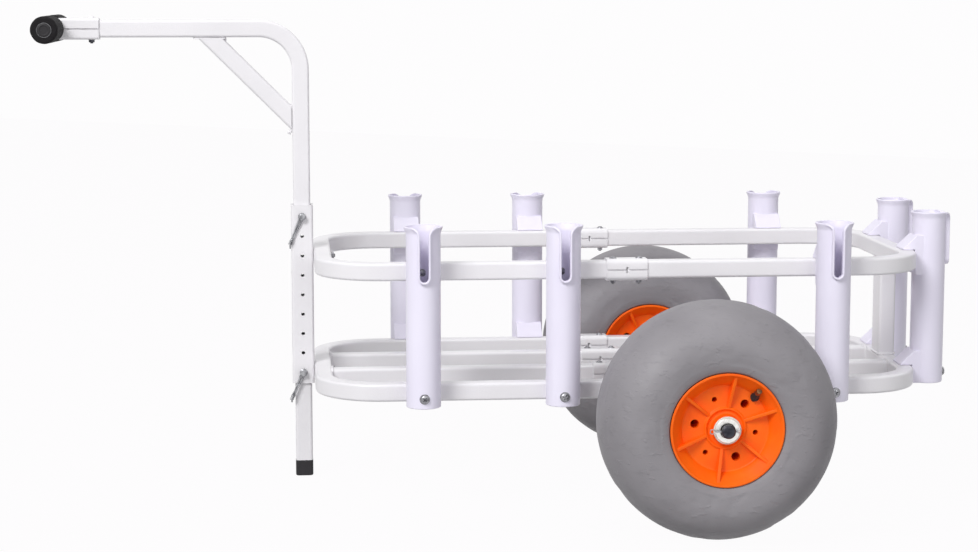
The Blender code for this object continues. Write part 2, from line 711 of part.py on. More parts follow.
def lock_pins(carrier, finish):
    """Both pins, with the empties on which a pin slides and its keeper swings."""
    for label, z in (("upper", UPPER_PIN_Z), ("lower", LOWER_PIN_Z)):
        pin_body = body(f"{label}_pin", (MAST_X, PIN_Y, z), carrier)
        near_face = -SLEEVE_SIDE / 2 - PIN_NECK
        profile = [
            (PIN_HEAD_RADIUS * 0.8, near_face - PIN_HEAD_THICKNESS),
            (PIN_HEAD_RADIUS, near_face - PIN_HEAD_THICKNESS * 0.7),
            (PIN_HEAD_RADIUS, near_face),
            (PIN_RADIUS, near_face),
            (PIN_RADIUS, SLEEVE_SIDE / 2 + PIN_TAIL * 0.6),
            (PIN_RADIUS * 0.5, SLEEVE_SIDE / 2 + PIN_TAIL),
        ]
        shape = moved(turned(profile, SHAFT_STEPS // 2, "Y", 0.5), (MAST_X, 0, z))
        piece(f"lock_pin_{label}", shape, pin_body, finish)
        keeper_body = body(f"{label}_keeper", (MAST_X, PIN_Y, z), pin_body)
        piece(f"pin_keeper_{label}", keeper_shape(z), keeper_body, finish)


def strap_outline():
    """The saddle strap under the axle, as a bent strip: ear, side, half round, side, ear."""
    inner = AXLE_RADIUS + TOUCH
    outer = inner + SADDLE_STRAP
    top = AXLE_Z + AXLE_RADIUS
    ear_x = outer + STRAP_EAR
    turns = [math.radians(180 + 180 * step / 8) for step in range(9)]
    outside = [(outer * math.cos(turn), AXLE_Z + outer * math.sin(turn)) for turn in turns]
    inside_arc = [(inner * math.cos(turn), AXLE_Z + inner * math.sin(turn)) for turn in turns[::-1]]
    points = [(-ear_x, top), (-ear_x, top - SADDLE_STRAP), (-outer, top - SADDLE_STRAP)] + outside
    points += [(outer, top - SADDLE_STRAP), (ear_x, top - SADDLE_STRAP), (ear_x, top), (inner, top)]
    return points + inside_arc + [(-inner, top)]


def axle(root, steel, zinc):
    half = WASHER_END_Y + AXLE_TAIL
    pin_y = half - AXLE_PIN_INSET
    chamfer = AXLE_RADIUS * 0.12
    profile = [
        (AXLE_RADIUS - chamfer, -half), (AXLE_RADIUS, -half + chamfer),
        (AXLE_RADIUS, half - chamfer), (AXLE_RADIUS - chamfer, half),
    ]
    shape = moved(turned(profile, AXLE_STEPS, "Y", 0.5), (0, 0, AXLE_Z))
    pin_hole_radius = (AXLE_PIN_RADIUS + PIN_FIT) / math.cos(math.pi / HOLE_STEPS)
    holes = [
        rod((0, sign * pin_y, AXLE_Z), "X", -2 * AXLE_RADIUS, 2 * AXLE_RADIUS, pin_hole_radius)
        for sign in (-1, 1)
    ]
    piece("axle", cut(shape, holes), root, steel)

    for label, y in (("near", -RAIL_Y), ("near_inner", -FLOOR_RAIL_Y), ("far_inner", FLOOR_RAIL_Y), ("far", RAIL_Y)):
        piece(f"axle_strap_{label}", prism(strap_outline(), y - HALF_TUBE, y + HALF_TUBE, "Y"), root, zinc)

    bore = (AXLE_RADIUS + TOUCH) / math.cos(math.pi / SHAFT_STEPS)
    for label, sign in (("near", -1), ("far", 1)):
        start = RAIL_Y + HALF_TUBE + TOUCH
        end = WHEEL_Y - HUB_HALF_WIDTH - TOUCH
        ring = [(bore, sign * start), (SPACER_RADIUS, sign * start), (SPACER_RADIUS, sign * end), (bore, sign * end)]
        piece(f"axle_spacer_{label}", moved(turned(ring, SHAFT_STEPS, "Y", 0.5, loop=True), (0, 0, AXLE_Z)), root, zinc)
        seat = HUB_END_Y + TOUCH
        end = WASHER_END_Y
        ring = [(bore, sign * seat), (WASHER_RADIUS, sign * seat), (WASHER_RADIUS, sign * end), (bore, sign * end)]
        piece(f"axle_washer_{label}", moved(turned(ring, SHAFT_STEPS, "Y", 0.5, loop=True), (0, 0, AXLE_Z)), root, zinc)
        profile = [
            (AXLE_PIN_RADIUS * 1.6, -AXLE_PIN_LONG), (AXLE_PIN_RADIUS * 1.6, -AXLE_PIN_LONG * 0.85),
            (AXLE_PIN_RADIUS, -AXLE_PIN_LONG * 0.8), (AXLE_PIN_RADIUS, AXLE_PIN_SHORT),
        ]
        pin = moved(turned(profile, HOLE_STEPS, "X", 0.5), (0, sign * pin_y, AXLE_Z))
        piece(f"axle_pin_{label}", pin, root, zinc)


def mirrored_profile(half):
    """Adds the inboard half of a profile to the outboard half."""
    return half + [(radius, -width) for radius, width in half[::-1]]


def rim_shape():
    """The rim about its own centre: a hollow barrel, dished discs, ribs, holes and hub."""
    lip = RIM_HALF_WIDTH
    flange = RIM_WALL * 0.9
    seat_radius = RIM_LIP_RADIUS - flange
    cone_top = RIM_LIP_RADIUS - RIM_WALL * 0.8
    bore = (BUSH_RADIUS + TOUCH) / math.cos(math.pi / SHAFT_STEPS)
    half = [
        (DISC_RADIUS + RIM_BARREL_ABOVE_DISC, DISC_OFFSET * 0.8),
        (seat_radius, DISC_OFFSET),
        (seat_radius, lip - flange),
        (RIM_LIP_RADIUS, lip - flange),
        (RIM_LIP_RADIUS, lip),
        (cone_top, lip),
        (DISC_RADIUS, DISC_OFFSET),
        (HUB_RING_RADIUS + HUB_RING_WIDTH / 2, DISC_OFFSET),
        (HUB_RING_RADIUS, DISC_OFFSET + HUB_RING_HEIGHT),
        (HUB_RING_RADIUS - HUB_RING_WIDTH / 2, DISC_OFFSET),
        (HUB_RADIUS, DISC_OFFSET),
        (HUB_RADIUS, HUB_HALF_WIDTH),
        (bore, HUB_HALF_WIDTH),
    ]
    solid = turned(mirrored_profile(half), RIM_STEPS, "Y", 0.5, loop=True)
    back = DISC_OFFSET - RIM_WALL
    cavity_half = [(DISC_RADIUS + RIM_WALL * 0.5, back), (HUB_RADIUS, back)]
    cavity = turned(mirrored_profile(cavity_half), RIM_STEPS, "Y", 0.5, loop=True)

    ribs = []
    for index in range(RIM_RIB_COUNT):
        for side in (-1, 1):
            turn = math.radians(RIM_RIB_ANGLE + 360 * index / RIM_RIB_COUNT)
            outline = [
                (HUB_RING_RADIUS, DISC_OFFSET - RIM_WALL / 2),
                (HUB_RING_RADIUS, DISC_OFFSET + HUB_RING_HEIGHT * 0.8),
                (DISC_RADIUS, DISC_OFFSET + HUB_RING_HEIGHT * 1.4),
                (cone_top - RIM_WALL * 0.2, lip - RIM_WALL * 0.6),
                (DISC_RADIUS + RIM_WALL, DISC_OFFSET - RIM_WALL / 2),
            ]
            shape = prism([(r, side * w) for r, w in outline], -RIM_RIB_WIDTH / 2, RIM_RIB_WIDTH / 2, "Z")
            shape.transform(Matrix.Rotation(-turn, 4, "Y"))
            ribs.append(shape)
    holes = []
    for index in range(RIM_RIB_COUNT):
        turn = math.radians(RIM_RIB_ANGLE + 360 * (index + 0.5) / RIM_RIB_COUNT)
        radius = RIM_SMALL_HOLE if index % 2 else RIM_LARGE_HOLE
        place = (RIM_HOLE_CIRCLE * math.cos(turn), 0, RIM_HOLE_CIRCLE * math.sin(turn))
        holes.append(rod(place, "Y", -lip, lip, radius, HOLE_STEPS))
    return solid, cavity, ribs, holes


def valve_frame():
    """Where the valve stands on the rim, with its Z axis along the stem."""
    turn, lean, tilt = (math.radians(angle) for angle in (VALVE_ANGLE, VALVE_LEAN_ANGLE, VALVE_TILT))
    outward = Vector((math.cos(turn), 0, math.sin(turn)))
    sideways = Vector((math.cos(lean), 0, math.sin(lean)))
    heading = Vector((0, -1, 0)) * math.cos(tilt) + sideways * math.sin(tilt)
    surface = DISC_OFFSET + RIM_WALL * 0.4
    return frame_at(outward * VALVE_CIRCLE + Vector((0, -surface, 0)), heading, sideways)


def tyre_profile():
    """The tyre's section: a balloon outside, a wall's thickness inside, open at the beads.

    Its radius is measured to the middle of a facet, and one facet lies on the floor.
    """
    lip_inner = RIM_HALF_WIDTH - RIM_WALL * 0.9 - TOUCH
    bead_radius = RIM_LIP_RADIUS - RIM_WALL * 0.9 + TOUCH
    crown = TYRE_RADIUS / math.cos(math.pi / TYRE_STEPS) - TYRE_WIDEST_RADIUS

    def balloon(inset, count):
        points = []
        for step in range(count + 1):
            turn = math.radians(90 * step / count)
            width = (TYRE_HALF_WIDTH - inset) * math.sin(turn) ** 0.9
            points.append((TYRE_WIDEST_RADIUS + (crown - inset) * math.cos(turn), width))
        return points[::-1]

    flank = (TYRE_WIDEST_RADIUS + RIM_LIP_RADIUS) / 2
    outer = [
        (bead_radius, lip_inner - TYRE_WALL * 1.4),
        (RIM_LIP_RADIUS + TOUCH, lip_inner),
        (RIM_LIP_RADIUS + TYRE_WALL * 0.5, RIM_HALF_WIDTH - TYRE_WALL * 0.3),
        (flank, TYRE_HALF_WIDTH - TYRE_WALL * 0.35),
    ] + balloon(0, 6)
    inner = [(RIM_LIP_RADIUS + TYRE_WALL, lip_inner - TYRE_WALL * 1.2)] + balloon(TYRE_WALL, 2)
    outer_all = outer + [(r, -w) for r, w in outer[::-1]][1:]
    inner_all = inner + [(r, -w) for r, w in inner[::-1]][1:]
    return outer_all + inner_all[::-1]


def wheels(root, tyre_finish, rim_finish, bush_finish, valve_finish):
    solid, cavity, ribs, holes = rim_shape()
    rim = cut(join(cut(solid, [cavity]), ribs), holes)
    seat = valve_frame()
    pocket = skin([
        [seat @ Vector((a, b, level)) for a, b in ring_of(VALVE_RADIUS + TOUCH, 8)]
        for level in (-VALVE_SEAT_DEPTH - TOUCH, VALVE_LENGTH)
    ])
    rim = cut(rim, [pocket])
    floor_turn = 0.5 - stance_angle() / (2 * math.pi) * TYRE_STEPS
    tyre = turned(tyre_profile(), TYRE_STEPS, "Y", floor_turn, loop=True)
    bush_bore = AXLE_RADIUS + AXLE_FIT
    bush = turned(
        [
            (bush_bore, -HUB_HALF_WIDTH - TOUCH - BUSH_FLANGE),
            (HUB_RADIUS * 0.95, -HUB_HALF_WIDTH - TOUCH - BUSH_FLANGE),
            (HUB_RADIUS * 0.95, -HUB_HALF_WIDTH - TOUCH),
            (BUSH_RADIUS, -HUB_HALF_WIDTH - TOUCH),
            (BUSH_RADIUS, HUB_HALF_WIDTH),
            (bush_bore, HUB_HALF_WIDTH),
        ],
        AXLE_STEPS, "Y", 0.5, loop=True,
    )
    stem_levels = [
        (VALVE_RADIUS, -VALVE_SEAT_DEPTH), (VALVE_RADIUS, VALVE_LENGTH * 0.45),
        (VALVE_RADIUS * 0.75, VALVE_LENGTH * 0.5), (VALVE_RADIUS * 0.85, VALVE_LENGTH * 0.55),
        (VALVE_RADIUS * 0.8, VALVE_LENGTH),
    ]
    stem = skin([
        [seat @ Vector((a, b, level)) for a, b in ring_of(radius, 8)] for radius, level in stem_levels
    ])
    for label, sign in (("near", -1), ("far", 1)):
        place = (0, sign * WHEEL_Y, AXLE_Z)
        carrier = body(f"{label}_wheel", place, root)
        turn = Matrix.Rotation(math.pi, 4, "Z") if sign > 0 else Matrix()
        for name, drawn, finish in (
            ("tyre", tyre, tyre_finish),
            ("rim", rim, rim_finish),
            ("hub_bush", bush, bush_finish),
            ("valve_stem", stem, valve_finish),
        ):
            shape = drawn.copy()
            shape.transform(Matrix() if name == "tyre" else turn)
            piece(f"{label}_{name}", moved(shape, place), carrier, finish)
    for drawn in (tyre, rim, bush, stem):
        drawn.free()


def stance_angle():
    """How far the cart tips nose-down before the foot's front edge meets the tyres' floor."""
    ahead = FOOT_SIDE / 2 - MAST_X
    drop = AXLE_Z - FOOT_BOTTOM
    return math.asin(AXLE_Z / math.hypot(ahead, drop)) - math.atan2(drop, ahead)


def stand_on_floor(root):
    """Tips the cart about its axle, then centres it in X over the origin and sets it on Z = 0."""
    angle = stance_angle()
    tip = Matrix.Rotation(-angle, 4, "Y")
    pivot = Vector((0, 0, AXLE_Z))
    root.rotation_euler = (0, -angle, 0)
    root.location = pivot - tip @ pivot
    bpy.context.view_layer.update()
    corners = [
        made.matrix_world @ vert.co
        for made in bpy.data.objects if made.type == "MESH"
        for vert in made.data.vertices
    ]
    middle = (min(c.x for c in corners) + max(c.x for c in corners)) / 2
    root.location += Vector((-middle, 0, -min(c.z for c in corners)))


def main():
    for old in list(bpy.data.objects):
        bpy.data.objects.remove(old)
    powder = material("white_powder_coat", (0.86, 0.86, 0.88), 0.35)
    plastic = material("white_plastic", (0.84, 0.83, 0.90), 0.4)
    zinc = material("zinc_plate", (0.72, 0.72, 0.70), 0.35, 1.0)
    steel = material("dark_steel", (0.10, 0.10, 0.11), 0.45, 1.0)
    foam = material("black_foam", (0.02, 0.02, 0.022), 0.8)
    rubber = material("black_rubber", (0.03, 0.03, 0.03), 0.7)
    tyre = material("grey_tyre", (0.38, 0.37, 0.38), 0.6)
    orange = material("orange_plastic", (0.95, 0.22, 0.03), 0.4)
    bush = material("natural_plastic", (0.75, 0.74, 0.70), 0.45)

    root = body("cart")
    frame(root, powder)
    rod_holders(root, plastic)
    sleeve(root, powder)
    carrier = body("mast", (MAST_X, 0, SLEEVE_BOTTOM), root)
    mast(carrier, powder, rubber, foam, rubber)
    lock_pins(carrier, zinc)
    axle(root, steel, zinc)
    wheels(root, tyre, orange, bush, rubber)
    stand_on_floor(root)


main()
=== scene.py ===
# %% [markdown]
# # A two-wheeled cart for the beach
# The real cart is welded and bolted from white powder-coated square tube. It rolls on two balloon
# tyres with orange rims, holds eight rods in plastic tubes and is pulled by a mast that stands in a
# sleeve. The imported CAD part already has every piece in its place, as plain solids. This lesson dresses
# them: it draws each piece again with the small forms that a camera sees, and gives it a finish.

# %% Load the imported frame
import json
import math

import bmesh
import bpy
from mathutils import Matrix, Vector, noise


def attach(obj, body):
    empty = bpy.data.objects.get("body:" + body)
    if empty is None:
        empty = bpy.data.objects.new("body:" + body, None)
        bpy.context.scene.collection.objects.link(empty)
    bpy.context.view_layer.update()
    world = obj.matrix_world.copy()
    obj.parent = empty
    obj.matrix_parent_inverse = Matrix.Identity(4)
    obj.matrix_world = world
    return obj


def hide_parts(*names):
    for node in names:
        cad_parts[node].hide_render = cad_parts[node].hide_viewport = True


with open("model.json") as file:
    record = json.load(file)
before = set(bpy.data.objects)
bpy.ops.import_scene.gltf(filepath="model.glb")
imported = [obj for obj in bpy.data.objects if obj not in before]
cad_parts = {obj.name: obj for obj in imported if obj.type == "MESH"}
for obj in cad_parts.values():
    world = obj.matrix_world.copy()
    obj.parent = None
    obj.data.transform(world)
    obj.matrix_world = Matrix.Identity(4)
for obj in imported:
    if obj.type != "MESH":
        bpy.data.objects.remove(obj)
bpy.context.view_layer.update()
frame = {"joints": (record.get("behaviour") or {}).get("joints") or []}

# %% [markdown]
# ## The cart's own axes
# The cart rests nose-down on its wheels and its foot, so none of its tubes is level. It is easier to
# draw it level, with the axle over X = 0, and to tip every finished mesh at the end. The joints tell
# how far: the mast slides along the tipped upright, and the wheel turns about the axle. The near side
# is the one that the camera sees, at negative Y.

# %% The tipping matrix
JOINTS = {joint["name"]: joint for joint in frame["joints"]}
UPRIGHT = Vector(JOINTS["mast_lift"]["axis"])
HUB = Vector(JOINTS["near_wheel_spin"]["pos_m"])
TIP = math.atan2(-UPRIGHT.x, UPRIGHT.z)
AXLE_Z = 0.1645
CART = (
    Matrix.Translation((HUB.x, 0, HUB.z))
    @ Matrix.Rotation(-TIP, 4, "Y")
    @ Matrix.Translation((0, 0, -AXLE_Z))
)
SIDES = (("near", -1), ("far", 1))
print("nose-down by", round(math.degrees(TIP), 3), "degrees")

# %% [markdown]
# ## Drawing tools
# Nearly every piece here is an outline that follows a path: a tube round its bends, a wire round its
# loops, a profile about the axle. So one function skins a row of point loops, and the others only make
# the loops. Working in bmesh keeps the loops exact, which a curve object's own bevel would not.

# %% Outlines
def ring(radius, steps, start=0.0):
    turns = [2 * math.pi * (step + start) / steps for step in range(steps)]
    return [(radius * math.cos(turn), radius * math.sin(turn)) for turn in turns]


def arc(middle, radius, start, end, steps):
    turns = [math.radians(start + (end - start) * step / steps) for step in range(steps + 1)]
    return [(middle[0] + radius * math.cos(t), middle[1] + radius * math.sin(t)) for t in turns]


def rounded(width, height, corner, steps=5):
    points = []
    for index, (side, level) in enumerate(((1, 1), (-1, 1), (-1, -1), (1, -1))):
        middle = (side * (width / 2 - corner), level * (height / 2 - corner))
        points += arc(middle, corner, 90 * index, 90 * (index + 1), steps)
    return points


def mirrored(profile, sign):
    return [(radius, sign * width) for radius, width in profile]


# %% Skins over outlines
def skin(loops, closed=False):
    shape = bmesh.new()
    rows = [[shape.verts.new(point) for point in loop] for loop in loops]
    count = len(rows[0])
    for first, second in list(zip(rows, rows[1:])) + ([(rows[-1], rows[0])] if closed else []):
        for index in range(count):
            after = (index + 1) % count
            shape.faces.new((first[index], first[after], second[after], second[index]))
    if not closed:
        shape.faces.new(rows[0])
        shape.faces.new(rows[-1])
    return shape


def frame_at(place, ahead, side):
    z = Vector(ahead).normalized()
    x = (Vector(side) - z * z.dot(Vector(side))).normalized()
    return Matrix.Translation(Vector(place)) @ Matrix((x, z.cross(x), z)).transposed().to_4x4()


def stations(frames, outline):
    return [[place @ Vector((a, b, 0)) for a, b in outline] for place in frames]


def pipe(frames, outer, inner):
    return skin(stations(frames, outer) + stations(frames, inner)[::-1], closed=True)


def along(axis, a, b, c):
    return {"X": (c, a, b), "Y": (a, c, b), "Z": (a, b, c)}[axis]


def prism(points, low, high, axis="Z"):
    return skin([[along(axis, a, b, level) for a, b in points] for level in (low, high)])


def turned(profile, steps, axis="Y", loop=False):
    rows = [(ring(radius, steps, 0.5), height) for radius, height in profile]
    return skin([[along(axis, a, b, height) for a, b in row] for row, height in rows], loop)


def moved(shape, place=(0, 0, 0), turn=None):
    shape.transform(Matrix.Translation(Vector(place)) @ (turn or Matrix()))
    return shape


# %% [markdown]
# Pressed, moulded and welded pieces have no knife edges: light catches on a small radius, and that is
# most of what makes a piece look real. A Bevel modifier rounds what is sharper than a set angle, and a
# Boolean cuts holes. Both work on objects, so a helper puts a shape into one and takes it out again.

# %% Modifiers on a bare shape
MERGE = 1e-6


def plain_mesh(shape, name="work"):
    mesh = bpy.data.meshes.new(name)
    bmesh.ops.recalc_face_normals(shape, faces=shape.faces)
    shape.to_mesh(mesh)
    shape.free()
    return mesh


def placed(name, data):
    made = bpy.data.objects.new(name, data)
    bpy.context.scene.collection.objects.link(made)
    return made


def evaluated(made):
    return made.evaluated_get(bpy.context.evaluated_depsgraph_get())


def modified(shape, kind, **settings):
    work = placed("work", plain_mesh(shape))
    modifier = work.modifiers.new("work", kind)
    for name, value in settings.items():
        setattr(modifier, name, value)
    result = bmesh.new()
    result.from_mesh(evaluated(work).data)
    bpy.data.objects.remove(work)
    return result


def eased(shape, width, segments=2, angle=32.0):
    bmesh.ops.remove_doubles(shape, verts=shape.verts, dist=MERGE)
    return modified(shape, "BEVEL", width=width, segments=segments, angle_limit=math.radians(angle))


def combined(shape, others, operation="DIFFERENCE"):
    for other in others:
        tool = placed("work", plain_mesh(other))
        shape = modified(shape, "BOOLEAN", operation=operation, solver="EXACT", object=tool)
        bpy.data.objects.remove(tool)
    return shape


def together(*shapes):
    whole = bmesh.new()
    for shape in shapes:
        mesh = plain_mesh(shape)
        whole.from_mesh(mesh)
        bpy.data.meshes.remove(mesh)
    return whole


# %% [markdown]
# Each finished shape becomes one object at the origin, with its place in its mesh. A Weighted Normal
# modifier lets its shading follow the large faces, so that a flat face beside a small rounding still
# looks flat. The piece rides on the CAD body that carries it, takes its finish's material and hides the
# plain CAD solid that it stands for, which has the same name unless another is given.


def settle(made):
    """Turn what the modifiers make into the object's plain mesh."""
    made.data = bpy.data.meshes.new_from_object(evaluated(made))
    made.modifiers.clear()


def show(name, shape, finish, owner="cart_frame", sharp=38.0, stands_for=None):
    bmesh.ops.remove_doubles(shape, verts=shape.verts, dist=MERGE)
    shape.transform(CART)
    mesh = plain_mesh(shape, name)
    mesh.shade_smooth()
    mesh.set_sharp_from_angle(angle=math.radians(sharp))
    mesh.materials.append(finish.material)
    made = placed(name, mesh)
    made.modifiers.new("even", "WEIGHTED_NORMAL").keep_sharp = True
    settle(made)
    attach(made, owner)
    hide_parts(stands_for or name)
    return made


# %% [markdown]
# ## Finishes
# A finish is a sum of small effects: a base colour, a slow drift in it, a fine grain that roughens the
# shine. Written as node links this is hard to read, so a small class lets sockets be added and
# multiplied like numbers, a second one makes the nodes of any tree, and a third one is a material that
# knows which finish of the record it belongs to.

# %% Sums on sockets
class Term:
    def __init__(self, nodes, socket):
        self.nodes = nodes
        self.socket = socket

    def sum(self, operation, *terms):
        return self.nodes.node("ShaderNodeMath", dict(enumerate(terms)), operation=operation)

    def __add__(self, other):
        return self.sum("ADD", self, other)

    def __mul__(self, other):
        return self.sum("MULTIPLY", self, other)

    __radd__ = __add__
    __rmul__ = __mul__


class Nodes:
    def __init__(self, tree):
        self.tree = tree

    def feed(self, socket, value):
        if isinstance(value, Term):
            self.tree.links.new(value.socket, socket)
        elif isinstance(value, tuple):
            socket.default_value = (*value, 1.0)[: len(socket.default_value)]
        else:
            socket.default_value = value

    def node(self, kind, values=(), output=0, **settings):
        made = self.tree.nodes.new(kind)
        for name, value in settings.items():
            setattr(made, name, value)
        for name, value in dict(values).items():
            self.feed(made.inputs[name], value)
        return Term(self, made.outputs[output])

    def mixed(self, share, first, second):
        return self.node("ShaderNodeMix", {0: share, 6: first, 7: second}, output=2, data_type="RGBA")


# %% Materials from sums
class Finish(Nodes):
    def __init__(self, name, slot=None):
        self.slot = slot or name
        self.material = bpy.data.materials.new(name)
        self.material.use_nodes = True
        super().__init__(self.material.node_tree)
        self.shader = self.tree.nodes["Principled BSDF"]
        self.place = self.node("ShaderNodeTexCoord", output="Object")

    def grain(self, scale, detail=2.0, stretch=(1, 1, 1)):
        place = self.node("ShaderNodeMapping", {"Vector": self.place, "Scale": stretch})
        return self.node("ShaderNodeTexNoise", {"Vector": place, "Scale": scale, "Detail": detail})

    def between(self, value, low, high):
        values = {"Value": value, "From Min": low, "From Max": high}
        return self.node("ShaderNodeMapRange", values, clamp=True)

    def set(self, **values):
        for name, value in values.items():
            self.feed(self.shader.inputs[name.replace("_", " ")], value)

    def bump(self, height, distance):
        values = {"Height": height, "Distance": distance, "Strength": 1.0}
        self.set(Normal=self.node("ShaderNodeBump", values))


def srgb(*levels):
    """A screen colour of 0 to 255 as the linear one that a shader needs."""
    shares = [level / 255 for level in levels]
    return tuple(((c + 0.055) / 1.055) ** 2.4 if c > 0.04045 else c / 12.92 for c in shares)


# %% [markdown]
# Powder coat is dry paint that is melted in an oven. It stays faintly dimpled, like orange peel a
# millimetre or two across, and has a soft gloss. A used cart also carries a breath of dust, so a broad
# noise greys it a little. The holders are moulded plastic, bluer and smoother.

# %% White finishes
def powder_coat():
    made = Finish("white_powder_coat")
    dust = made.between(made.grain(9.0, 4.0), 0.42, 0.75)
    made.set(Base_Color=made.mixed(dust * 0.5, srgb(238, 236, 239), srgb(226, 224, 227)))
    peel = made.grain(620.0, 1.0)
    made.set(Roughness=made.between(made.grain(40.0), 0.3, 0.7) * 0.1 + 0.3, Coat_Weight=dust * -0.2 + 0.3)
    made.set(Coat_Roughness=0.22)
    made.bump(peel, 0.00012)
    return made


def holder_plastic():
    made = Finish("white_plastic")
    drift = made.between(made.grain(16.0, 3.0, (1, 1, 0.35)), 0.35, 0.7)
    made.set(Base_Color=made.mixed(drift, srgb(241, 237, 252), srgb(234, 229, 246)))
    made.set(Roughness=made.grain(90.0, 3.0) * 0.16 + 0.3)
    made.bump(made.grain(350.0, 2.0) + made.grain(45.0) * 2.0, 0.00008)
    return made


POWDER = powder_coat()
PLASTIC = holder_plastic()
print("white finishes", POWDER.slot, PLASTIC.slot)

# %% [markdown]
# Zinc plating is a thin bright metal with a blotchy grey haze. Screws, washers and the valves' caps are
# shades of it. The axle is darker bare steel. On all of them the blotches matter more in the roughness
# than in the colour.

# %% Metal finishes
def metal(name, bright, dull, rough, scale, slot="zinc_plate"):
    made = Finish(name, slot)
    haze = made.between(made.grain(scale, 4.0), 0.35, 0.7)
    made.set(Base_Color=made.mixed(haze, bright, dull))
    made.set(Roughness=haze * 0.2 + rough, Metallic=0.9 + haze * 0.1)
    made.bump(made.grain(scale * 12, 2.0), 0.00003)
    return made


ZINC = metal("zinc_plate", srgb(176, 177, 180), srgb(112, 112, 116), 0.26, 180.0)
STEEL = metal("dark_steel", srgb(74, 74, 80), srgb(44, 44, 50), 0.34, 120.0, "dark_steel")
BRASS = metal("valve_brass", srgb(150, 112, 78), srgb(96, 70, 52), 0.38, 150.0)
SCREW = metal("screw_zinc", srgb(168, 168, 172), srgb(98, 98, 102), 0.30, 220.0)
BRIGHT = metal("bright_zinc", srgb(240, 239, 236), srgb(214, 211, 205), 0.26, 160.0)
print("metals", [finish.material.name for finish in (ZINC, STEEL, BRASS, SCREW, BRIGHT)])

# %% [markdown]
# Foam, rubber and the tyre's soft plastic scatter light at a rough surface. The grips' foam shows its
# cells. The tyre has a cloudy bloom, scuffs that run round it and faint creases where it was folded.
# The orange rim is a glossier moulding whose colour drifts a little.

# %% Foam and rubber
def foam_finish():
    made = Finish("black_foam")
    cells = made.node("ShaderNodeTexVoronoi", {"Vector": made.place, "Scale": 900.0})
    made.set(Base_Color=made.mixed(made.grain(60.0, 3.0), srgb(17, 16, 18), srgb(28, 26, 28)))
    made.set(Roughness=made.grain(200.0) * 0.15 + 0.72, Specular_IOR_Level=0.2)
    made.bump(cells + made.grain(240.0, 2.0), 0.00045)
    return made


def rubber_finish():
    made = Finish("black_rubber")
    made.set(Base_Color=made.mixed(made.grain(70.0, 3.0), srgb(29, 28, 30), srgb(46, 44, 47)))
    made.set(Roughness=made.grain(140.0) * 0.2 + 0.5, Specular_IOR_Level=0.3)
    made.bump(made.grain(500.0, 3.0), 0.0001)
    return made


FOAM = foam_finish()
RUBBER = rubber_finish()
print("soft finishes", FOAM.slot, RUBBER.slot)


# %% Tyre, rim and bush
def tyre_finish():
    made = Finish("grey_tyre")
    bloom = made.between(made.grain(11.0, 5.0), 0.3, 0.72)
    scuffs = made.between(made.grain(60.0, 4.0, (1, 1, 3)), 0.56, 0.75)
    made.set(Base_Color=made.mixed(bloom * 0.7 + scuffs * 0.3, srgb(145, 142, 146), srgb(128, 125, 129)))
    made.set(Roughness=bloom * 0.10 + scuffs * 0.08 + 0.54, Specular_IOR_Level=0.42)
    creases = made.between(made.grain(75.0, 3.0, (1, 1, 1.6)), 0.60, 0.70)
    made.bump(made.grain(260.0, 3.0) + made.grain(30.0, 2.0) * 4.0 + creases * 2.6, 0.00014)
    return made


def rim_finish():
    made = Finish("orange_rim")
    drift = made.between(made.grain(30.0, 3.0), 0.35, 0.7)
    made.set(Base_Color=made.mixed(drift, srgb(255, 110, 11), srgb(255, 98, 7)))
    made.set(Roughness=made.grain(110.0, 3.0) * 0.14 + 0.38, Specular_IOR_Level=0.25)
    made.bump(made.grain(420.0, 2.0), 0.00007)
    return made


def bush_finish():
    made = Finish("pale_bush")
    made.set(Base_Color=made.mixed(made.grain(50.0, 3.0), srgb(232, 230, 222), srgb(214, 210, 200)))
    made.set(Roughness=made.grain(120.0) * 0.15 + 0.38)
    made.bump(made.grain(380.0), 0.00006)
    return made


TYRE = tyre_finish()
ORANGE = rim_finish()
BUSH = bush_finish()
print("wheel finishes", TYRE.slot, ORANGE.slot, BUSH.slot)

# %% [markdown]
# ## The frame's two levels
# Each level is a square tube bent into a rounded loop and sawn across, so that the cart packs flat. The
# lower level has two more rails inside, welded to its cross members. The tube follows a row of places:
# straight along a rail, sixteen small turns round each bend, and back.

# %% Bent halves
TUBE = 0.025
TUBE_CORNER = 0.004
TUBE_WALL = 0.0015
FRONT_X, REAR_X = -0.5325, 0.320
RAIL_Y, FLOOR_Y = 0.195, 0.065
LOWER_Z, UPPER_Z = 0.1868, 0.3578
BEND = 0.085
SPLIT_X = -0.1075
HALF_CUT = 0.0005
GAP = 0.0003
TUBE_OUT = rounded(TUBE, TUBE, TUBE_CORNER)
TUBE_IN = rounded(TUBE - 2 * TUBE_WALL, TUBE - 2 * TUBE_WALL, TUBE_CORNER - TUBE_WALL)


def half_loop(cross_x, z, steps=16):
    """Places from the near rail's sawn end round the cross member to the far rail's sawn end."""
    ahead = 1 if cross_x > SPLIT_X else -1
    start_x = SPLIT_X + ahead * HALF_CUT
    path = [((start_x, -RAIL_Y, z), (ahead, 0, 0))]
    for side in (-1, 1):
        for step in range(steps + 1):
            turn = math.radians(90 * (step if side < 0 else steps - step) / steps)
            x = cross_x - ahead * BEND * (1 - math.sin(turn))
            y = side * (RAIL_Y - BEND * (1 - math.cos(turn)))
            path.append(((x, y, z), (-side * ahead * math.cos(turn), math.sin(turn), 0)))
    path.append(((start_x, RAIL_Y, z), (-ahead, 0, 0)))
    return [frame_at(place, heading, (0, 0, 1)) for place, heading in path]


# %% [markdown]
# A weld is a bead of metal along the joint, rippled as the welder's hand moved on. It is a small ring
# swept round the tube's outline, whose size swings a little from point to point. A straight side has
# only two points, so more are put between them for the bead to ripple on.

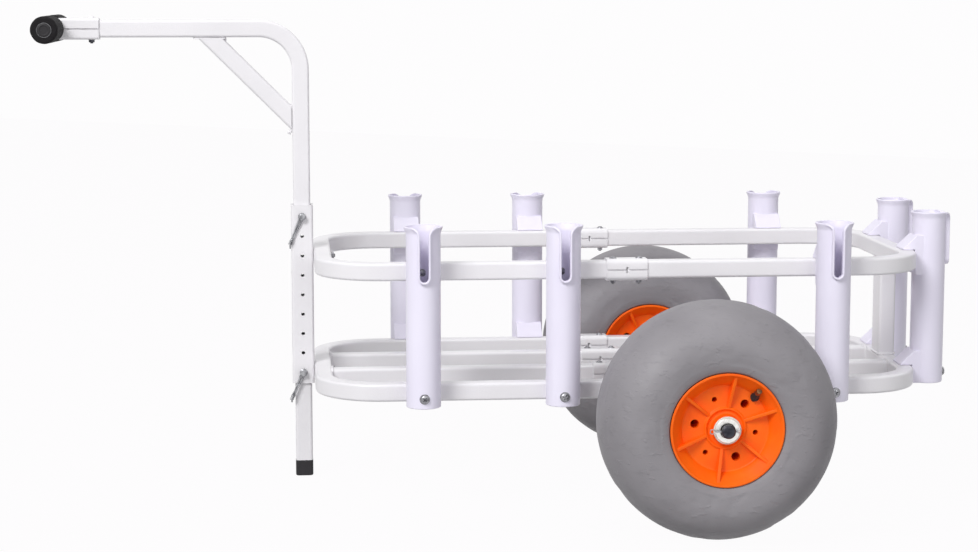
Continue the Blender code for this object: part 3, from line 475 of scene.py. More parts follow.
# %% Weld beads and the four halves
BEAD = 0.0019
BEAD_SWING, BEAD_BEAT = 0.16, 2.4
BEAD_SPACING = 0.0014
BEAD_SIDE, BEAD_CORNER = 0.0262, 0.0042
RAIL_SINK = 0.001


def dense(outline):
    points = []
    for first, second in zip(outline, outline[1:] + outline[:1]):
        first, second = Vector(first), Vector(second)
        parts = max(1, round((second - first).length / BEAD_SPACING))
        points += [first.lerp(second, part / parts) for part in range(parts)]
    return points


def weld(points, normal=(1, 0, 0)):
    loops = []
    for index, point in enumerate(points):
        heading = Vector(points[(index + 1) % len(points)]) - Vector(points[index - 1])
        swell = 1 + BEAD_SWING * math.sin(index * BEAD_BEAT)
        loops += stations([frame_at(point, heading, normal)], ring(BEAD * swell, 8))
    return skin(loops, closed=True)


def frame_half(name, cross_x, z, rails):
    ahead = 1 if cross_x > SPLIT_X else -1
    shapes = [pipe(half_loop(cross_x, z), TUBE_OUT, TUBE_IN)]
    face_x = cross_x - ahead * TUBE / 2
    bead = dense(rounded(BEAD_SIDE, BEAD_SIDE, BEAD_CORNER))
    for y in rails:
        ends = [(face_x + ahead * RAIL_SINK, y, z), (SPLIT_X + ahead * HALF_CUT, y, z)]
        shapes.append(pipe([frame_at(end, (-ahead, 0, 0), (0, 0, 1)) for end in ends], TUBE_OUT, TUBE_IN))
        shapes.append(weld([(face_x, y + p.x, z + p.y) for p in bead]))
    show(name, together(*shapes), POWDER)


for level, z, rails in (("upper", UPPER_Z, ()), ("lower", LOWER_Z, (-FLOOR_Y, FLOOR_Y))):
    frame_half(f"{level}_front_frame", FRONT_X, z, rails)
    frame_half(f"{level}_rear_frame", REAR_X, z, rails)

# %% [markdown]
# The post behind joins the two levels. It is a deeper box than the rails and is welded at both ends, so
# it gets the same rippled bead, here round its own outline.

# %% Rear post
POST_DEEP, POST_CORNER = 0.042, 0.0045
BEAD_RISE = 0.0012


def upright(x, low, high):
    return [Matrix.Translation((x, 0, level)) for level in (low, high)]


post_out = rounded(TUBE, POST_DEEP, POST_CORNER)
post_in = rounded(TUBE - 2 * TUBE_WALL, POST_DEEP - 2 * TUBE_WALL, POST_CORNER - TUBE_WALL)
post_low, post_high = LOWER_Z + TUBE / 2 + GAP, UPPER_Z - TUBE / 2 - GAP
beads = [
    weld([(REAR_X + p.x, p.y, level) for p in dense(post_out)], normal=(0, 0, 1))
    for level in (post_low + BEAD_RISE, post_high - BEAD_RISE)
]
show("rear_post", together(pipe(upright(REAR_X, post_low, post_high), post_out, post_in), *beads), POWDER)

# %% [markdown]
# ## Splice clamps
# Where the loops are sawn, a pressed shell above and one below close round the tube and two upright
# bolts pull them together. Pressing leaves generous outside corners and slightly rolled edges. Each
# shell has a small notch in both its edges, which shows that the tube ends meet there.

# %% Pressed shells
SPLICE_LENGTH, SPLICE_WALL, SPLICE_SLIT = 0.058, 0.0025, 0.002
NOTCH_LONG, NOTCH_TALL, NOTCH_CORNER = 0.0034, 0.0084, 0.0012
SPLICES = [
    ("near_upper", -RAIL_Y, UPPER_Z),
    ("far_upper", RAIL_Y, UPPER_Z),
    ("near_lower", -RAIL_Y, LOWER_Z),
    ("near_floor", -FLOOR_Y, LOWER_Z),
    ("far_floor", FLOOR_Y, LOWER_Z),
    ("far_lower", RAIL_Y, LOWER_Z),
]


def channel(inner, corner, wall, slit):
    def arch(half, radius):
        right = arc((half - radius, half - radius), radius, 0, 90, 6)
        left = arc((radius - half, half - radius), radius, 90, 180, 6)
        return [(half, slit / 2)] + right + left + [(-half, slit / 2)]
    return arch(inner + wall, corner + wall) + arch(inner, corner)[::-1]


def splice(label, y, z):
    outline = channel(TUBE / 2 + GAP, TUBE_CORNER + GAP, SPLICE_WALL, SPLICE_SLIT)
    low, high = SPLIT_X - SPLICE_LENGTH / 2, SPLIT_X + SPLICE_LENGTH / 2
    for place, sign in (("top", 1), ("bottom", -1)):
        shell = prism([(y + a, z + sign * b) for a, b in outline], low, high, "X")
        notch = prism(rounded(NOTCH_LONG, NOTCH_TALL, NOTCH_CORNER, 3), -TUBE, TUBE, "Y")
        shell = eased(combined(shell, [moved(notch, (SPLIT_X, y, z))]), 0.0006)
        show(f"splice_{place}_{label}", shell, POWDER)


for label, y, z in SPLICES:
    splice(label, y, z)
print("splice shells", 2 * len(SPLICES))

# %% [markdown]
# ## Rod holders
# Eight moulded tubes carry the rods. Each has a rolled mouth, and a slot for the reel's foot whose raised
# edge runs down one side, round the bottom and up the other, and opens like a funnel at the top. The
# tube is a turned profile with the slot cut out. The raised edge is an outline swept along the slot's
# path, which hides the cut: sweeping keeps it smooth, where a Boolean and a bevel would leave creases.

# %% The slot's path
HOLDER = 0.02415
HOLDER_WALL = 0.003
HOLDER_BORE = HOLDER - HOLDER_WALL
HOLDER_TOP, HOLDER_LOW = 0.4255, 0.1725
SLOT_HALF = 0.006
SLOT_END = HOLDER_TOP - 0.0755 + SLOT_HALF
FUNNEL = 0.0125
FUNNEL_Z = HOLDER_TOP - FUNNEL


def slot_path(offset=0.0):
    """Points (across, up) and directions away from the slot, from the left lip round to the right one."""
    path = []
    for side in (-1, 1):
        part = []
        for step in range(11):
            turn = math.radians(90 + 9 * step)
            away = Vector((-side * math.cos(turn), -math.sin(turn)))
            middle = Vector((side * (SLOT_HALF + FUNNEL), FUNNEL_Z))
            edge = middle + Vector((side * FUNNEL * math.cos(turn), FUNNEL * math.sin(turn)))
            part.append((edge + away * offset, away))
        for step in range(1, 7):
            level = FUNNEL_Z + (SLOT_END - FUNNEL_Z) * step / 6
            part.append((Vector((side * (SLOT_HALF + offset), level)), Vector((side, 0))))
        path.append(part)
    bottom = []
    for step in range(1, 12):
        turn = math.radians(180 + 15 * step)
        away = Vector((math.cos(turn), math.sin(turn)))
        bottom.append((Vector((0, SLOT_END)) + away * (SLOT_HALF + offset), away))
    return path[0] + bottom + path[1][::-1]


print("slot points", len(slot_path()))

# %% The raised edge
EDGE_WIDE, EDGE_OUT, EDGE_SOFT = 0.0030, 0.0048, 0.0011
EDGE_LIP = 0.0036
EDGE_REACH = 0.85


def slot_edge():
    """The edge runs level along the slot and sinks towards the mouth's own lip in the funnel."""
    loops = []
    for place, away in slot_path():
        rise = max(0.0, (place.y - FUNNEL_Z) / FUNNEL)
        lip = math.sqrt((HOLDER + EDGE_LIP) ** 2 - place.x ** 2)
        front = (HOLDER + EDGE_OUT) * (1 - rise ** 2) + lip * rise ** 2
        top = arc((EDGE_SOFT, front - EDGE_SOFT), EDGE_SOFT, 180, 90, 3)
        top += [(EDGE_WIDE - deep, x) for deep, x in top[::-1]]
        loop = []
        for deep, x in [(0.0, None)] + top + [(EDGE_WIDE, None)]:
            point = place + away * deep
            across = min(abs(point.x), HOLDER * EDGE_REACH)
            back = math.sqrt((HOLDER - HOLDER_WALL / 2) ** 2 - across ** 2)
            loop.append((back if x is None else x, point.x, point.y))
        loops.append(loop)
    return skin(loops)


# %% The tube
def holder_tube(steps=72):
    top, low, bore = HOLDER_TOP, HOLDER_LOW, HOLDER_BORE
    outline = [(bore, low + 0.0008), (bore + 0.0008, low), (HOLDER - 0.0008, low), (HOLDER, low + 0.0008)]
    outline += [(HOLDER, top - 0.011), (HOLDER + 0.0006, top - 0.0075), (HOLDER + 0.0020, top - 0.0045)]
    outline += arc((HOLDER + 0.0016, top - 0.0014), 0.0014, -20, 110, 6)
    outline += [(HOLDER - 0.0006, top - 0.0006), (bore + 0.0018, top - 0.0035)]
    outline += [(bore + 0.0005, top - 0.0075), (bore, top - 0.012)]
    tube = turned(outline, steps, "Z", loop=True)
    opening = [tuple(point) for point, _ in slot_path(EDGE_WIDE / 2)]
    above = top + 0.01
    return combined(tube, [prism([(-0.02, above)] + opening + [(0.02, above)], 0.004, 0.05, "X")])


# %% [markdown]
# Two saddles fasten each tube to the rails. A saddle is a thick bracket that hugs the tube, slopes down
# to a lip over the rail and closes below it. It is drawn as a wedge from the side, its edges are eased,
# and then the tube's own round is cut out of it, so that it seems to grow from the wall.

# %% Saddles
STAND_OFF = 0.002
SADDLE_HALF = 0.020
SADDLE_RISE, SADDLE_DROP, SADDLE_LIP = 0.021, 0.012, 0.018


def saddle(z):
    face = -HOLDER - STAND_OFF + GAP
    rail_top, rail_low = z + TUBE / 2 + GAP, z - TUBE / 2
    low = max(rail_low - SADDLE_DROP, HOLDER_LOW)
    inside, side, lip = -0.010, -HOLDER * 0.97, face - SADDLE_LIP
    outline = [(inside, rail_top + SADDLE_RISE), (side, rail_top + SADDLE_RISE)]
    outline += [(lip, rail_top + 0.002), (lip, rail_top), (face, rail_top)]
    outline += [(face, low)] if low >= rail_low - GAP else [(face, rail_low), (side, low)]
    outline.append((inside, low))
    wedge = eased(prism(outline, -SADDLE_HALF, SADDLE_HALF, "Y"), 0.0009, 3)
    core = HOLDER - HOLDER_WALL / 2
    return combined(wedge, [turned([(core, z - 0.1), (core, z + 0.1)], 72, "Z")])


# %% Eight holders
HOLDER_X = {"front": -0.3965, "middle": -0.201, "rear": 0.182}
BEHIND_Y = 0.097


def holder_places():
    """Names, middles and the directions that the slots face, three on each side and two behind."""
    reach = TUBE / 2 + STAND_OFF + HOLDER
    places = []
    for side, sign in SIDES:
        for label, x in HOLDER_X.items():
            middle, outward = Vector((x, sign * (RAIL_Y + reach), 0)), Vector((0, sign, 0))
            places.append((f"rod_holder_{side}_{label}", middle, outward))
    for side, sign in SIDES:
        middle = Vector((REAR_X + reach, sign * BEHIND_Y, 0))
        places.append((f"rod_holder_rear_{side}", middle, Vector((1, 0, 0))))
    return places


drawn = together(holder_tube(), slot_edge(), saddle(LOWER_Z), saddle(UPPER_Z))
for name, place, outward in holder_places():
    turn = Matrix.Rotation(math.atan2(outward.y, outward.x), 4, "Z")
    show(name, moved(drawn.copy(), place, turn), PLASTIC)
drawn.free()

# %% [markdown]
# ## Mast sleeve
# The mast's leg slides in a wider square tube in front of the frame. Nine holes on each side let the
# pins set its height. A Boolean drills them, and the bevel that follows leaves the soft rim that paint
# leaves round a drilled hole.

# %% Sleeve
SLEEVE = 0.0325
SLEEVE_BORE = SLEEVE - 0.006
MAST_X = FRONT_X - TUBE / 2 - GAP - SLEEVE / 2
SLEEVE_LOW, SLEEVE_HIGH = 0.1688, 0.4343
HOLE = 0.0027
PIN_HEIGHTS = [0.18555 + 0.029 * index for index in range(9)]


def drilled(shape, half, steps=20):
    holes = [moved(prism(ring(HOLE, steps), -half, half, "Y"), (MAST_X, 0, z)) for z in PIN_HEIGHTS]
    return combined(shape, holes)


outside, inside = rounded(SLEEVE, SLEEVE, 0.004, 6), rounded(SLEEVE_BORE, SLEEVE_BORE, 0.0016, 6)
tube = pipe(upright(MAST_X, SLEEVE_LOW, SLEEVE_HIGH), outside, inside)
show("mast_sleeve", eased(drilled(tube, SLEEVE), 0.0005, 2, 50.0), POWDER, sharp=25.0)

# %% [markdown]
# ## Mast
# One tube makes leg, bend and arm. It is drawn like the rails, with the bend in twenty small turns,
# and is drilled where the sleeve is. The foot is a moulded plug with ribs that wipe the tube.

# %% Mast tube
MAST_LOW = 0.0513
ARM_Z = 0.6925
MAST_BEND = 0.060
ARM_END = -0.9068


def mast_frames(steps=20):
    path = [((MAST_X, 0, MAST_LOW), (0, 0, 1))]
    for step in range(steps + 1):
        turn = math.radians(90 * step / steps)
        x, z = MAST_X - MAST_BEND * (1 - math.cos(turn)), ARM_Z - MAST_BEND * (1 - math.sin(turn))
        path.append(((x, 0, z), (-math.sin(turn), 0, math.cos(turn))))
    path.append(((ARM_END, 0, ARM_Z), (-1, 0, 0)))
    return [frame_at(place, heading, (0, 1, 0)) for place, heading in path]


show("mast_tube", drilled(pipe(mast_frames(), TUBE_OUT, TUBE_IN), SLEEVE), POWDER, "mast")

# %% Foot
levels = [(0.0234, 0.0280), (0.0252, 0.0288), (0.0258, 0.0305), (0.0258, 0.0492), (0.0252, 0.0505)]
levels += [(0.0248, 0.0510), (0.0214, 0.0510), (0.0214, 0.0560), (0.0205, 0.0575), (0.0214, 0.0590)]
levels += [(0.0205, 0.0620), (0.0214, 0.0640), (0.0190, 0.0672)]
loops = []
for side, z in levels:
    corner = 0.004 if side > TUBE - 2 * TUBE_WALL else 0.0024
    loops.append([(MAST_X + a, b, z) for a, b in rounded(side, side, corner)])
show("mast_foot", skin(loops), RUBBER, "mast", 30.0)

# %% [markdown]
# The brace runs from the leg to the arm. Both its ends are cut on the slant and close with a flat tab
# that a bolt and nut hold. Its end outlines are the square's outline slid along the tube until they meet
# the mast's face below and the arm's face above.

# %% Brace
ARM_FACE, LEG_FACE = ARM_Z - TUBE / 2 - GAP, MAST_X - TUBE / 2 - GAP
BRACE_LOW = ARM_Z - 0.131
BRACE_TOP_X = LEG_FACE - (ARM_FACE - BRACE_LOW)
BRACE_INSET = 0.0011
TAB = 0.0022
TAB_CORNER = 0.004


def brace_end(outline, upper):
    ahead, across = Vector((-1, 0, 1)).normalized(), Vector((1, 0, 1)).normalized()
    points = []
    for a, b in outline:
        point = Vector((LEG_FACE, b, BRACE_LOW)) + across * a
        if upper:
            far = (ARM_FACE - BRACE_INSET - point.z) / ahead.z
        else:
            far = (LEG_FACE - BRACE_INSET - point.x) / ahead.x
        points.append(point + ahead * far)
    return points


def brace():
    ends = [(TUBE_OUT, False), (TUBE_OUT, True), (TUBE_IN, True), (TUBE_IN, False)]
    tube = skin([brace_end(outline, upper) for outline, upper in ends], closed=True)
    upper = prism(rounded(0.048, 0.020, TAB_CORNER, 4), ARM_FACE - TAB, ARM_FACE)
    lower = prism(rounded(0.020, 0.042, TAB_CORNER, 4), LEG_FACE - TAB, LEG_FACE, "X")
    upper = moved(eased(upper, 0.0005), (BRACE_TOP_X, 0, 0))
    return together(tube, upper, moved(eased(lower, 0.0005), (0, 0, BRACE_LOW)))


show("mast_brace", brace(), POWDER, "mast")

# %% [markdown]
# ## Grip
# Two cast halves clasp the arm's end and the grip bar, with a slit left between them so that the bolt
# can pull them tight. Each is the side outline pushed through, kept only where it lies inside a rounded
# bar, then hollowed for the tube and the bar.

# %% Clamp halves
GRIP_X = -0.9198
GRIP_BAR = 0.011
CLAMP_WALL = 0.0026
CLAMP_HALF = TUBE / 2 + GAP + CLAMP_WALL
CLAMP_REAR = -0.851
HALF_SLIT = 0.001


def along_arm(outline, start, end):
    places = [frame_at((x, 0, ARM_Z), (1, 0, 0), (0, 1, 0)) for x in (start, end)]
    return skin(stations(places, outline))


def clamp_half(sign):
    nose = CLAMP_HALF * 0.998
    start = math.degrees(math.asin(HALF_SLIT / nose))
    outline = [(CLAMP_REAR, HALF_SLIT), (CLAMP_REAR, 0.02), (GRIP_X, 0.02)]
    outline += arc((GRIP_X, 0), nose, 90, 180 - start, 16)
    shape = prism([(x, ARM_Z + sign * z) for x, z in outline], -0.02, 0.02, "Y")
    around = rounded(2 * CLAMP_HALF, 2 * CLAMP_HALF, 0.004, 4)
    shape = combined(shape, [along_arm(around, GRIP_X - 0.05, CLAMP_REAR + 0.01)], "INTERSECT")
    core = rounded(TUBE + 2 * GAP, TUBE + 2 * GAP, TUBE_CORNER + GAP)
    bore = along_arm(core, CLAMP_REAR + CLAMP_WALL, ARM_END - GAP)
    mouth = along_arm(core, CLAMP_REAR - 0.01, CLAMP_REAR + 0.01)
    hole = moved(prism(ring(GRIP_BAR + GAP, 40), -0.02, 0.02, "Y"), (GRIP_X, 0, ARM_Z))
    return eased(combined(shape, [bore, mouth, hole]), 0.0006, 2, 40.0)


for half, sign in (("top", 1), ("bottom", -1)):
    show(f"grip_clamp_{half}", clamp_half(sign), POWDER, "mast")

# %% [markdown]
# The bar's ends are closed by small plugs with a raised ring. The foam grips are soft tubes that were
# pushed on: their ends roll over a little and their skin is never quite straight, so a slow noise moves
# the surface by a fraction of a millimetre.

# %% Bar and plugs
HALF_BAR = 0.1030
PLUG = [(0.0012, 0.1038), (0.0056, 0.1038), (0.0062, 0.1046), (0.0074, 0.1048), (0.0082, 0.1042)]
PLUG += [(0.0094, 0.1040), (0.0100, 0.1036), (0.0100, HALF_BAR)]


def about_grip(profile, steps, loop=False):
    return moved(turned(profile, steps, "Y", loop), (GRIP_X, 0, ARM_Z))


show("grip_bar", about_grip([(GRIP_BAR, -HALF_BAR), (GRIP_BAR, HALF_BAR)], 48), ZINC, "mast")
for side, sign in SIDES:
    show(f"grip_plug_{side}", about_grip(mirrored(PLUG, sign), 48), RUBBER, "mast", 50.0, "grip_bar")

# %% Foam grips
FOAM_START, FOAM_END = 0.0157, 0.1035
FOAM_R, FOAM_BORE = 0.0198, 0.0114
FOAM_WAVE, FOAM_WAVES = 0.00035, 90
FOAM_SKIN = 0.014


def foam_grip(sign):
    profile = [(FOAM_BORE, FOAM_START)] + arc((FOAM_R - 0.003, FOAM_START + 0.003), 0.003, -90, 0, 5)
    profile += [(FOAM_R, FOAM_START + (FOAM_END - FOAM_START) * step / 20) for step in range(2, 19)]
    profile += arc((FOAM_R - 0.0042, FOAM_END - 0.0042), 0.0042, 0, 90, 7)
    profile += [(0.0104, FOAM_END - 0.0002), (0.0104, FOAM_END - 0.0003)]
    shape = about_grip(mirrored(profile, sign), 56, loop=True)
    for vert in shape.verts:
        out = Vector((vert.co.x - GRIP_X, 0, vert.co.z - ARM_Z))
        if out.length > FOAM_SKIN:
            vert.co -= out.normalized() * FOAM_WAVE * (1 + noise.noise(vert.co * FOAM_WAVES))
    return shape


for side, sign in SIDES:
    grip = show(f"grip_foam_{side}", foam_grip(sign), FOAM, "mast", 60.0)

# %% [markdown]
# ## Lock pins and their keepers
# Two pins cross sleeve and mast, each with a low round head. A wire keeper hangs from each head: an eye
# round the pin's neck, two strands down to a small coil, and a cross wire beside the sleeve.

# %% Pins
PIN_Y = -SLEEVE / 2 - 0.0024
PIN_FACE = -SLEEVE / 2 - 0.0048
PINS = (("lower", PIN_HEIGHTS[0]), ("upper", PIN_HEIGHTS[-1]))
PIN = [(0.0012, PIN_FACE - 0.0030), (0.0038, PIN_FACE - 0.0029), (0.0050, PIN_FACE - 0.0023)]
PIN += [(0.0055, PIN_FACE - 0.0013), (0.0053, PIN_FACE - 0.0001), (0.0040, PIN_FACE)]
PIN += [(0.0024, PIN_FACE + 0.0002), (0.0024, 0.0185), (0.0022, 0.0196), (0.0015, 0.0204), (0.0006, 0.0207)]

for level, z in PINS:
    show(f"lock_pin_{level}", moved(turned(PIN, 32), (MAST_X, 0, z)), ZINC, f"{level}_pin")

# %% [markdown]
# A wire is a ring swept along points. Its outline is turned as little as it can be from one point to the
# next, because a twist would pinch it. The points come from a smooth line through a few places.

# %% Wires
def wire(points, radius, sides=10):
    places = []
    side = Vector((0.3, 1, 0.2))
    for index, point in enumerate(points):
        ahead = (points[min(index + 1, len(points) - 1)] - points[max(index - 1, 0)]).normalized()
        side = side - ahead * ahead.dot(side)
        side = ahead.orthogonal() if side.length < 0.2 else side
        places.append(frame_at(point, ahead, side))
        side = places[-1].to_3x3() @ Vector((1, 0, 0))
    return skin(stations(places, ring(radius, sides)))


def curved(points, parts=6):
    """A smooth line through the points: at each its slope is that of the line between its neighbours."""
    line = []
    for index in range(len(points) - 1):
        a, b = points[max(index - 1, 0)], points[index]
        c, d = points[index + 1], points[min(index + 2, len(points) - 1)]
        for part in range(parts):
            t = part / parts
            bend, swing = 2 * a - 5 * b + 4 * c - d, 3 * b - a - 3 * c + d
            line.append(0.5 * (2 * b + (c - a) * t + bend * t * t + swing * t ** 3))
    return line + [points[-1]]


# %% Keepers
KEEPER_LONG = 0.0435
KEEPER_WIRE, COIL_WIRE = 0.0012, 0.0009
EYE_R, EYE_OPEN = 0.0045, 35
STRAND, COIL_R, COIL_TURNS = 0.0011, 0.0021, 4


def keeper(z):
    lean = math.asin((SLEEVE / 2 + KEEPER_WIRE + GAP) / KEEPER_LONG)
    down = Vector((-math.sin(lean), 0, -math.cos(lean)))
    over = Vector((down.z, 0, -down.x))
    eye = Vector((MAST_X, PIN_Y, z))
    corner = eye + down * KEEPER_LONG

    def strand(way):
        waist = eye + down * 0.0085 - over * way * 0.0022
        half = eye + down * KEEPER_LONG * 0.55 - over * way * STRAND
        return [waist, half, corner - down * 0.006 - over * way * STRAND]

    turns = [math.radians(EYE_OPEN - 360 + (360 - 2 * EYE_OPEN) * step / 24) for step in range(25)]
    loop = [eye + (Matrix.Rotation(turn, 3, "Y") @ down) * EYE_R for turn in turns]
    coil = []
    for step in range(41):
        turn = 2 * math.pi * COIL_TURNS * step / 40
        middle = corner - down * (0.0085 - 0.0095 * step / 40)
        coil.append(middle + over * COIL_R * math.cos(turn) + Vector((0, COIL_R * math.sin(turn), 0)))
    bends = ((0.002, 0), (0.012, 0), (0.028, 0), (0.0315, -0.002), (0.032, -0.011))
    cross = [corner - down * 0.003] + [corner + Vector((0, y, drop)) for y, drop in bends]
    body = curved(strand(-1)[::-1] + loop + strand(1), 4)
    return together(wire(body, KEEPER_WIRE), wire(coil, COIL_WIRE), wire(curved(cross), KEEPER_WIRE))


for level, z in PINS:
    show(f"pin_keeper_{level}", keeper(z), ZINC, f"{level}_keeper", 60.0)

# %% [markdown]
# ## Axle
# A round bar crosses under the lower level. Four straps hold it up to the rails, a spacer tube keeps
# each hub off the frame, and outside each hub sit a washer and a split pin. All are turned or bent
# from strip, so a profile and an outline are enough.

# %% Axle bar
AXLE = 0.0095
HALF_AXLE = 0.4116
WHEEL_Y = 0.320
HUB_HALF = 0.078


def about_axle(profile, steps, loop=False):
    return moved(turned(profile, steps, "Y", loop), (0, 0, AXLE_Z))


bar = [(0.0012, HALF_AXLE - 0.0006), (0.0030, HALF_AXLE)]
bar += [(AXLE - 0.0018, HALF_AXLE), (AXLE, HALF_AXLE - 0.0018)]
show("axle", about_axle(mirrored(bar, -1) + bar[::-1], 64), STEEL)

# %% Straps
STRAP = 0.003
STRAP_EAR = AXLE + GAP + 0.025
STRAP_PLACES = (("near", -RAIL_Y), ("near_inner", -FLOOR_Y), ("far_inner", FLOOR_Y), ("far", RAIL_Y))


def strap():
    inner, top = AXLE + GAP, AXLE_Z + AXLE
    outer, low = inner + STRAP, top - STRAP
    outline = [(-STRAP_EAR, top), (-STRAP_EAR, low), (-outer - 0.002, low)]
    outline += arc((0, AXLE_Z), outer, 180, 360, 20)
    outline += [(outer + 0.002, low), (STRAP_EAR, low), (STRAP_EAR, top), (inner, top)]
    outline += arc((0, AXLE_Z), inner, 360, 180, 20) + [(-inner, top)]
    return eased(prism(outline, -TUBE / 2, TUBE / 2, "Y"), 0.0004)


for label, y in STRAP_PLACES:
    show(f"axle_strap_{label}", moved(strap(), (0, y, 0)), ZINC)

# %% Spacers and washers
FLANGE = 0.0015
FLANGE_Y = HUB_HALF + GAP + FLANGE
BORE = 0.0100
SPACER = 0.0125
WASHER, WASHER_THICK = 0.0168, 0.002

start, end = RAIL_Y + TUBE / 2 + GAP, WHEEL_Y - HUB_HALF - GAP
spacer = [(BORE, start), (SPACER - 0.0004, start), (SPACER, start + 0.0004)]
spacer += [(SPACER, end - 0.0004), (SPACER - 0.0004, end), (BORE, end)]
seat = WHEEL_Y + FLANGE_Y + GAP
face = seat + WASHER_THICK
washer = [(BORE, seat), (WASHER - 0.0006, seat), (WASHER, seat + 0.0006)]
washer += [(WASHER, face - 0.0006), (WASHER - 0.0006, face), (BORE + 0.0006, face), (BORE, face - 0.0006)]
for side, sign in SIDES:
    show(f"axle_spacer_{side}", about_axle(mirrored(spacer, sign), 48, True), ZINC)
    show(f"axle_washer_{side}", about_axle(mirrored(washer, sign), 64, True), BRIGHT)

# %% [markdown]
# A split pin is one half-round wire folded on itself. The fold makes the eye, and the two legs part
# behind the axle so that it can't fall out.

# %% Split pins
SPLIT_IN = 0.0055
SPLIT_WIRE = 0.00075
SPLIT_LEG = [(-0.0245, 0), (-0.0240, 0.0024), (-0.0205, 0.0028), (-0.0165, 0.0009), (-0.006, 0.0008)]
SPLIT_LEG += [(0.0105, 0.0008), (0.0135, 0.0016), (0.0165, 0.0042)]


def split_pin(sign):
    middle = Vector((0, sign * (HALF_AXLE - SPLIT_IN), AXLE_Z))
    legs = []
    for way in (-1, 1):
        line = [Vector((x, 0, way * z)) for x, z in SPLIT_LEG]
        legs.append(wire([middle + point for point in curved(line, 5)], SPLIT_WIRE, 8))
    return together(*legs)


for side, sign in SIDES:
    show(f"axle_pin_{side}", split_pin(sign), ZINC, sharp=60.0)

# %% [markdown]
# ## Wheels
# A balloon tyre is a soft shell with no tread. Its section is a quarter ellipse outside, falling in a
# smooth line to the rim's lip, with one low ring where the mould's two parts met. A hundred and sixty
# steps about the axle keep its outline round in the picture. A used one is never quite even, so two
# slow noises press shallow dents into it.

# %% The tyre's section
TYRE_R, TYRE_HALF, TYRE_WIDEST, TYRE_WALL = 0.1645, 0.088, 0.109, 0.0045
CROWN = TYRE_R - TYRE_WIDEST
LIP_R, LIP_Y = 0.0778, 0.0829
TYRE_FOOT = LIP_Y - 0.010
SIDE_WALL = [(0.0800, 0.0817), (0.0860, 0.0846), (0.0934, 0.0864), (0.1010, 0.0876)]
MOULD_R, MOULD_HIGH, MOULD_WIDE = 0.0905, 0.0002, 0.0012


def quarter(crown, half, steps, power=1.0):
    turns = [math.radians(90 - 90 * step / steps) for step in range(steps)]
    points = [(TYRE_WIDEST + crown * math.cos(t), half * math.sin(t) ** power) for t in turns]
    return points + [(TYRE_WIDEST + crown, 0.0)]


def tyre_section():
    side = [(LIP_R - 0.0030, TYRE_FOOT), (LIP_R + GAP, LIP_Y - 0.0040), *SIDE_WALL, (TYRE_WIDEST, TYRE_HALF)]
    outer = []
    for radius, width in curved([Vector(point) for point in side], 5)[:-1]:
        swell = MOULD_HIGH * math.exp(-(((radius - MOULD_R) / MOULD_WIDE) ** 2))
        outer.append((radius, width + swell))
    outer += quarter(CROWN, TYRE_HALF, 36, 0.9)
    inner = [(LIP_R + TYRE_WALL, TYRE_FOOT)] + quarter(CROWN - TYRE_WALL, TYRE_HALF - TYRE_WALL, 12)
    outer += mirrored(outer[::-1], -1)[1:]
    inner += mirrored(inner[::-1], -1)[1:]
    return outer + inner[::-1]


# %% Dents
DENT, DENT_FLOOR = 0.0020, 0.05
DENTS_BROAD, DENTS_FINE = 26, 70
EVEN_R = LIP_R + 0.012


def tyre_shape():
    tyre = turned(tyre_section(), 160, "Y", loop=True)
    for vert in tyre.verts:
        out = Vector((vert.co.x, 0, vert.co.z))
        across = Vector((0, vert.co.y, 0)) / TYRE_HALF
        if out.length > EVEN_R:
            away = (out.normalized() * (out.length - TYRE_WIDEST) / CROWN + across).normalized()
            dent = noise.noise(vert.co * DENTS_BROAD) + 0.5 * noise.noise(vert.co * DENTS_FINE)
            vert.co -= away * DENT * max(0.0, dent - DENT_FLOOR)
    return tyre


# %% [markdown]
# The rim is one orange moulding with the same face on both sides: a rounded lip, a sloping wall, a flat
# disc with three large and three small holes, six ribs, a low ring and the hub. The turned profile does
# the round forms. The ribs are outlines in the plane of the axle, eased and laid into it.

# %% The rim's section
DISC_Y = 0.063
BARREL_R = 0.0742
HUB_R, HUB_BORE = 0.0190, 0.0143
RING_R, RING_HALF, RING_HIGH = 0.027, 0.0022, 0.003


def rim_section():
    """From the barrel over the lip and down the dish to the hub's bore, and the same on the far side."""
    seat = LIP_Y - 0.0036
    half = [(0.0660, 0.0504), (BARREL_R, DISC_Y), (BARREL_R, seat), (LIP_R - 0.0004, seat)]
    half += arc((LIP_R - 0.0012, LIP_Y - 0.0012), 0.0012, 0, 90, 5)
    half += arc((0.0752, LIP_Y - 0.0009), 0.0009, 90, 150, 3)
    half += [(0.0728, 0.0800), (0.0650, 0.0716), (0.0606, 0.0664)]
    half += arc((0.0577, 0.0660), 0.0030, -30, -90, 4) + [(0.0305, DISC_Y)]
    turns = [math.radians(15 + 30 * step) for step in range(6)]
    half += [(RING_R + RING_HALF * math.cos(t), DISC_Y + RING_HIGH * math.sin(t)) for t in turns]
    half += [(0.0235, DISC_Y), (0.0205, DISC_Y + 0.0002), (HUB_R + 0.0003, DISC_Y + 0.0014)]
    half += [(HUB_R, HUB_HALF - 0.0008), (HUB_R - 0.0006, HUB_HALF), (HUB_BORE, HUB_HALF)]
    return half + mirrored(half[::-1], -1)


# %% Ribs, holes and the whole rim
RIB_TURN, RIB_HALF = 21, 0.0023
HOLE_RING, HOLE_RADII = 0.042, (0.006, 0.0036)
CAVITY_R, CAVITY_Y = 0.0595, DISC_Y - 0.004


def rim_rib(turn, side):
    outline = [(0.0268, DISC_Y - 0.002), (0.0268, DISC_Y + 0.0024), (0.0736, LIP_Y - 0.0034)]
    outline += [(0.0758, LIP_Y - 0.0040), (0.0600, DISC_Y - 0.001)]
    rib = eased(prism(mirrored(outline, side), -RIB_HALF, RIB_HALF, "Z"), 0.0009, 3, 50.0)
    return moved(rib, turn=Matrix.Rotation(-math.radians(turn), 4, "Y"))


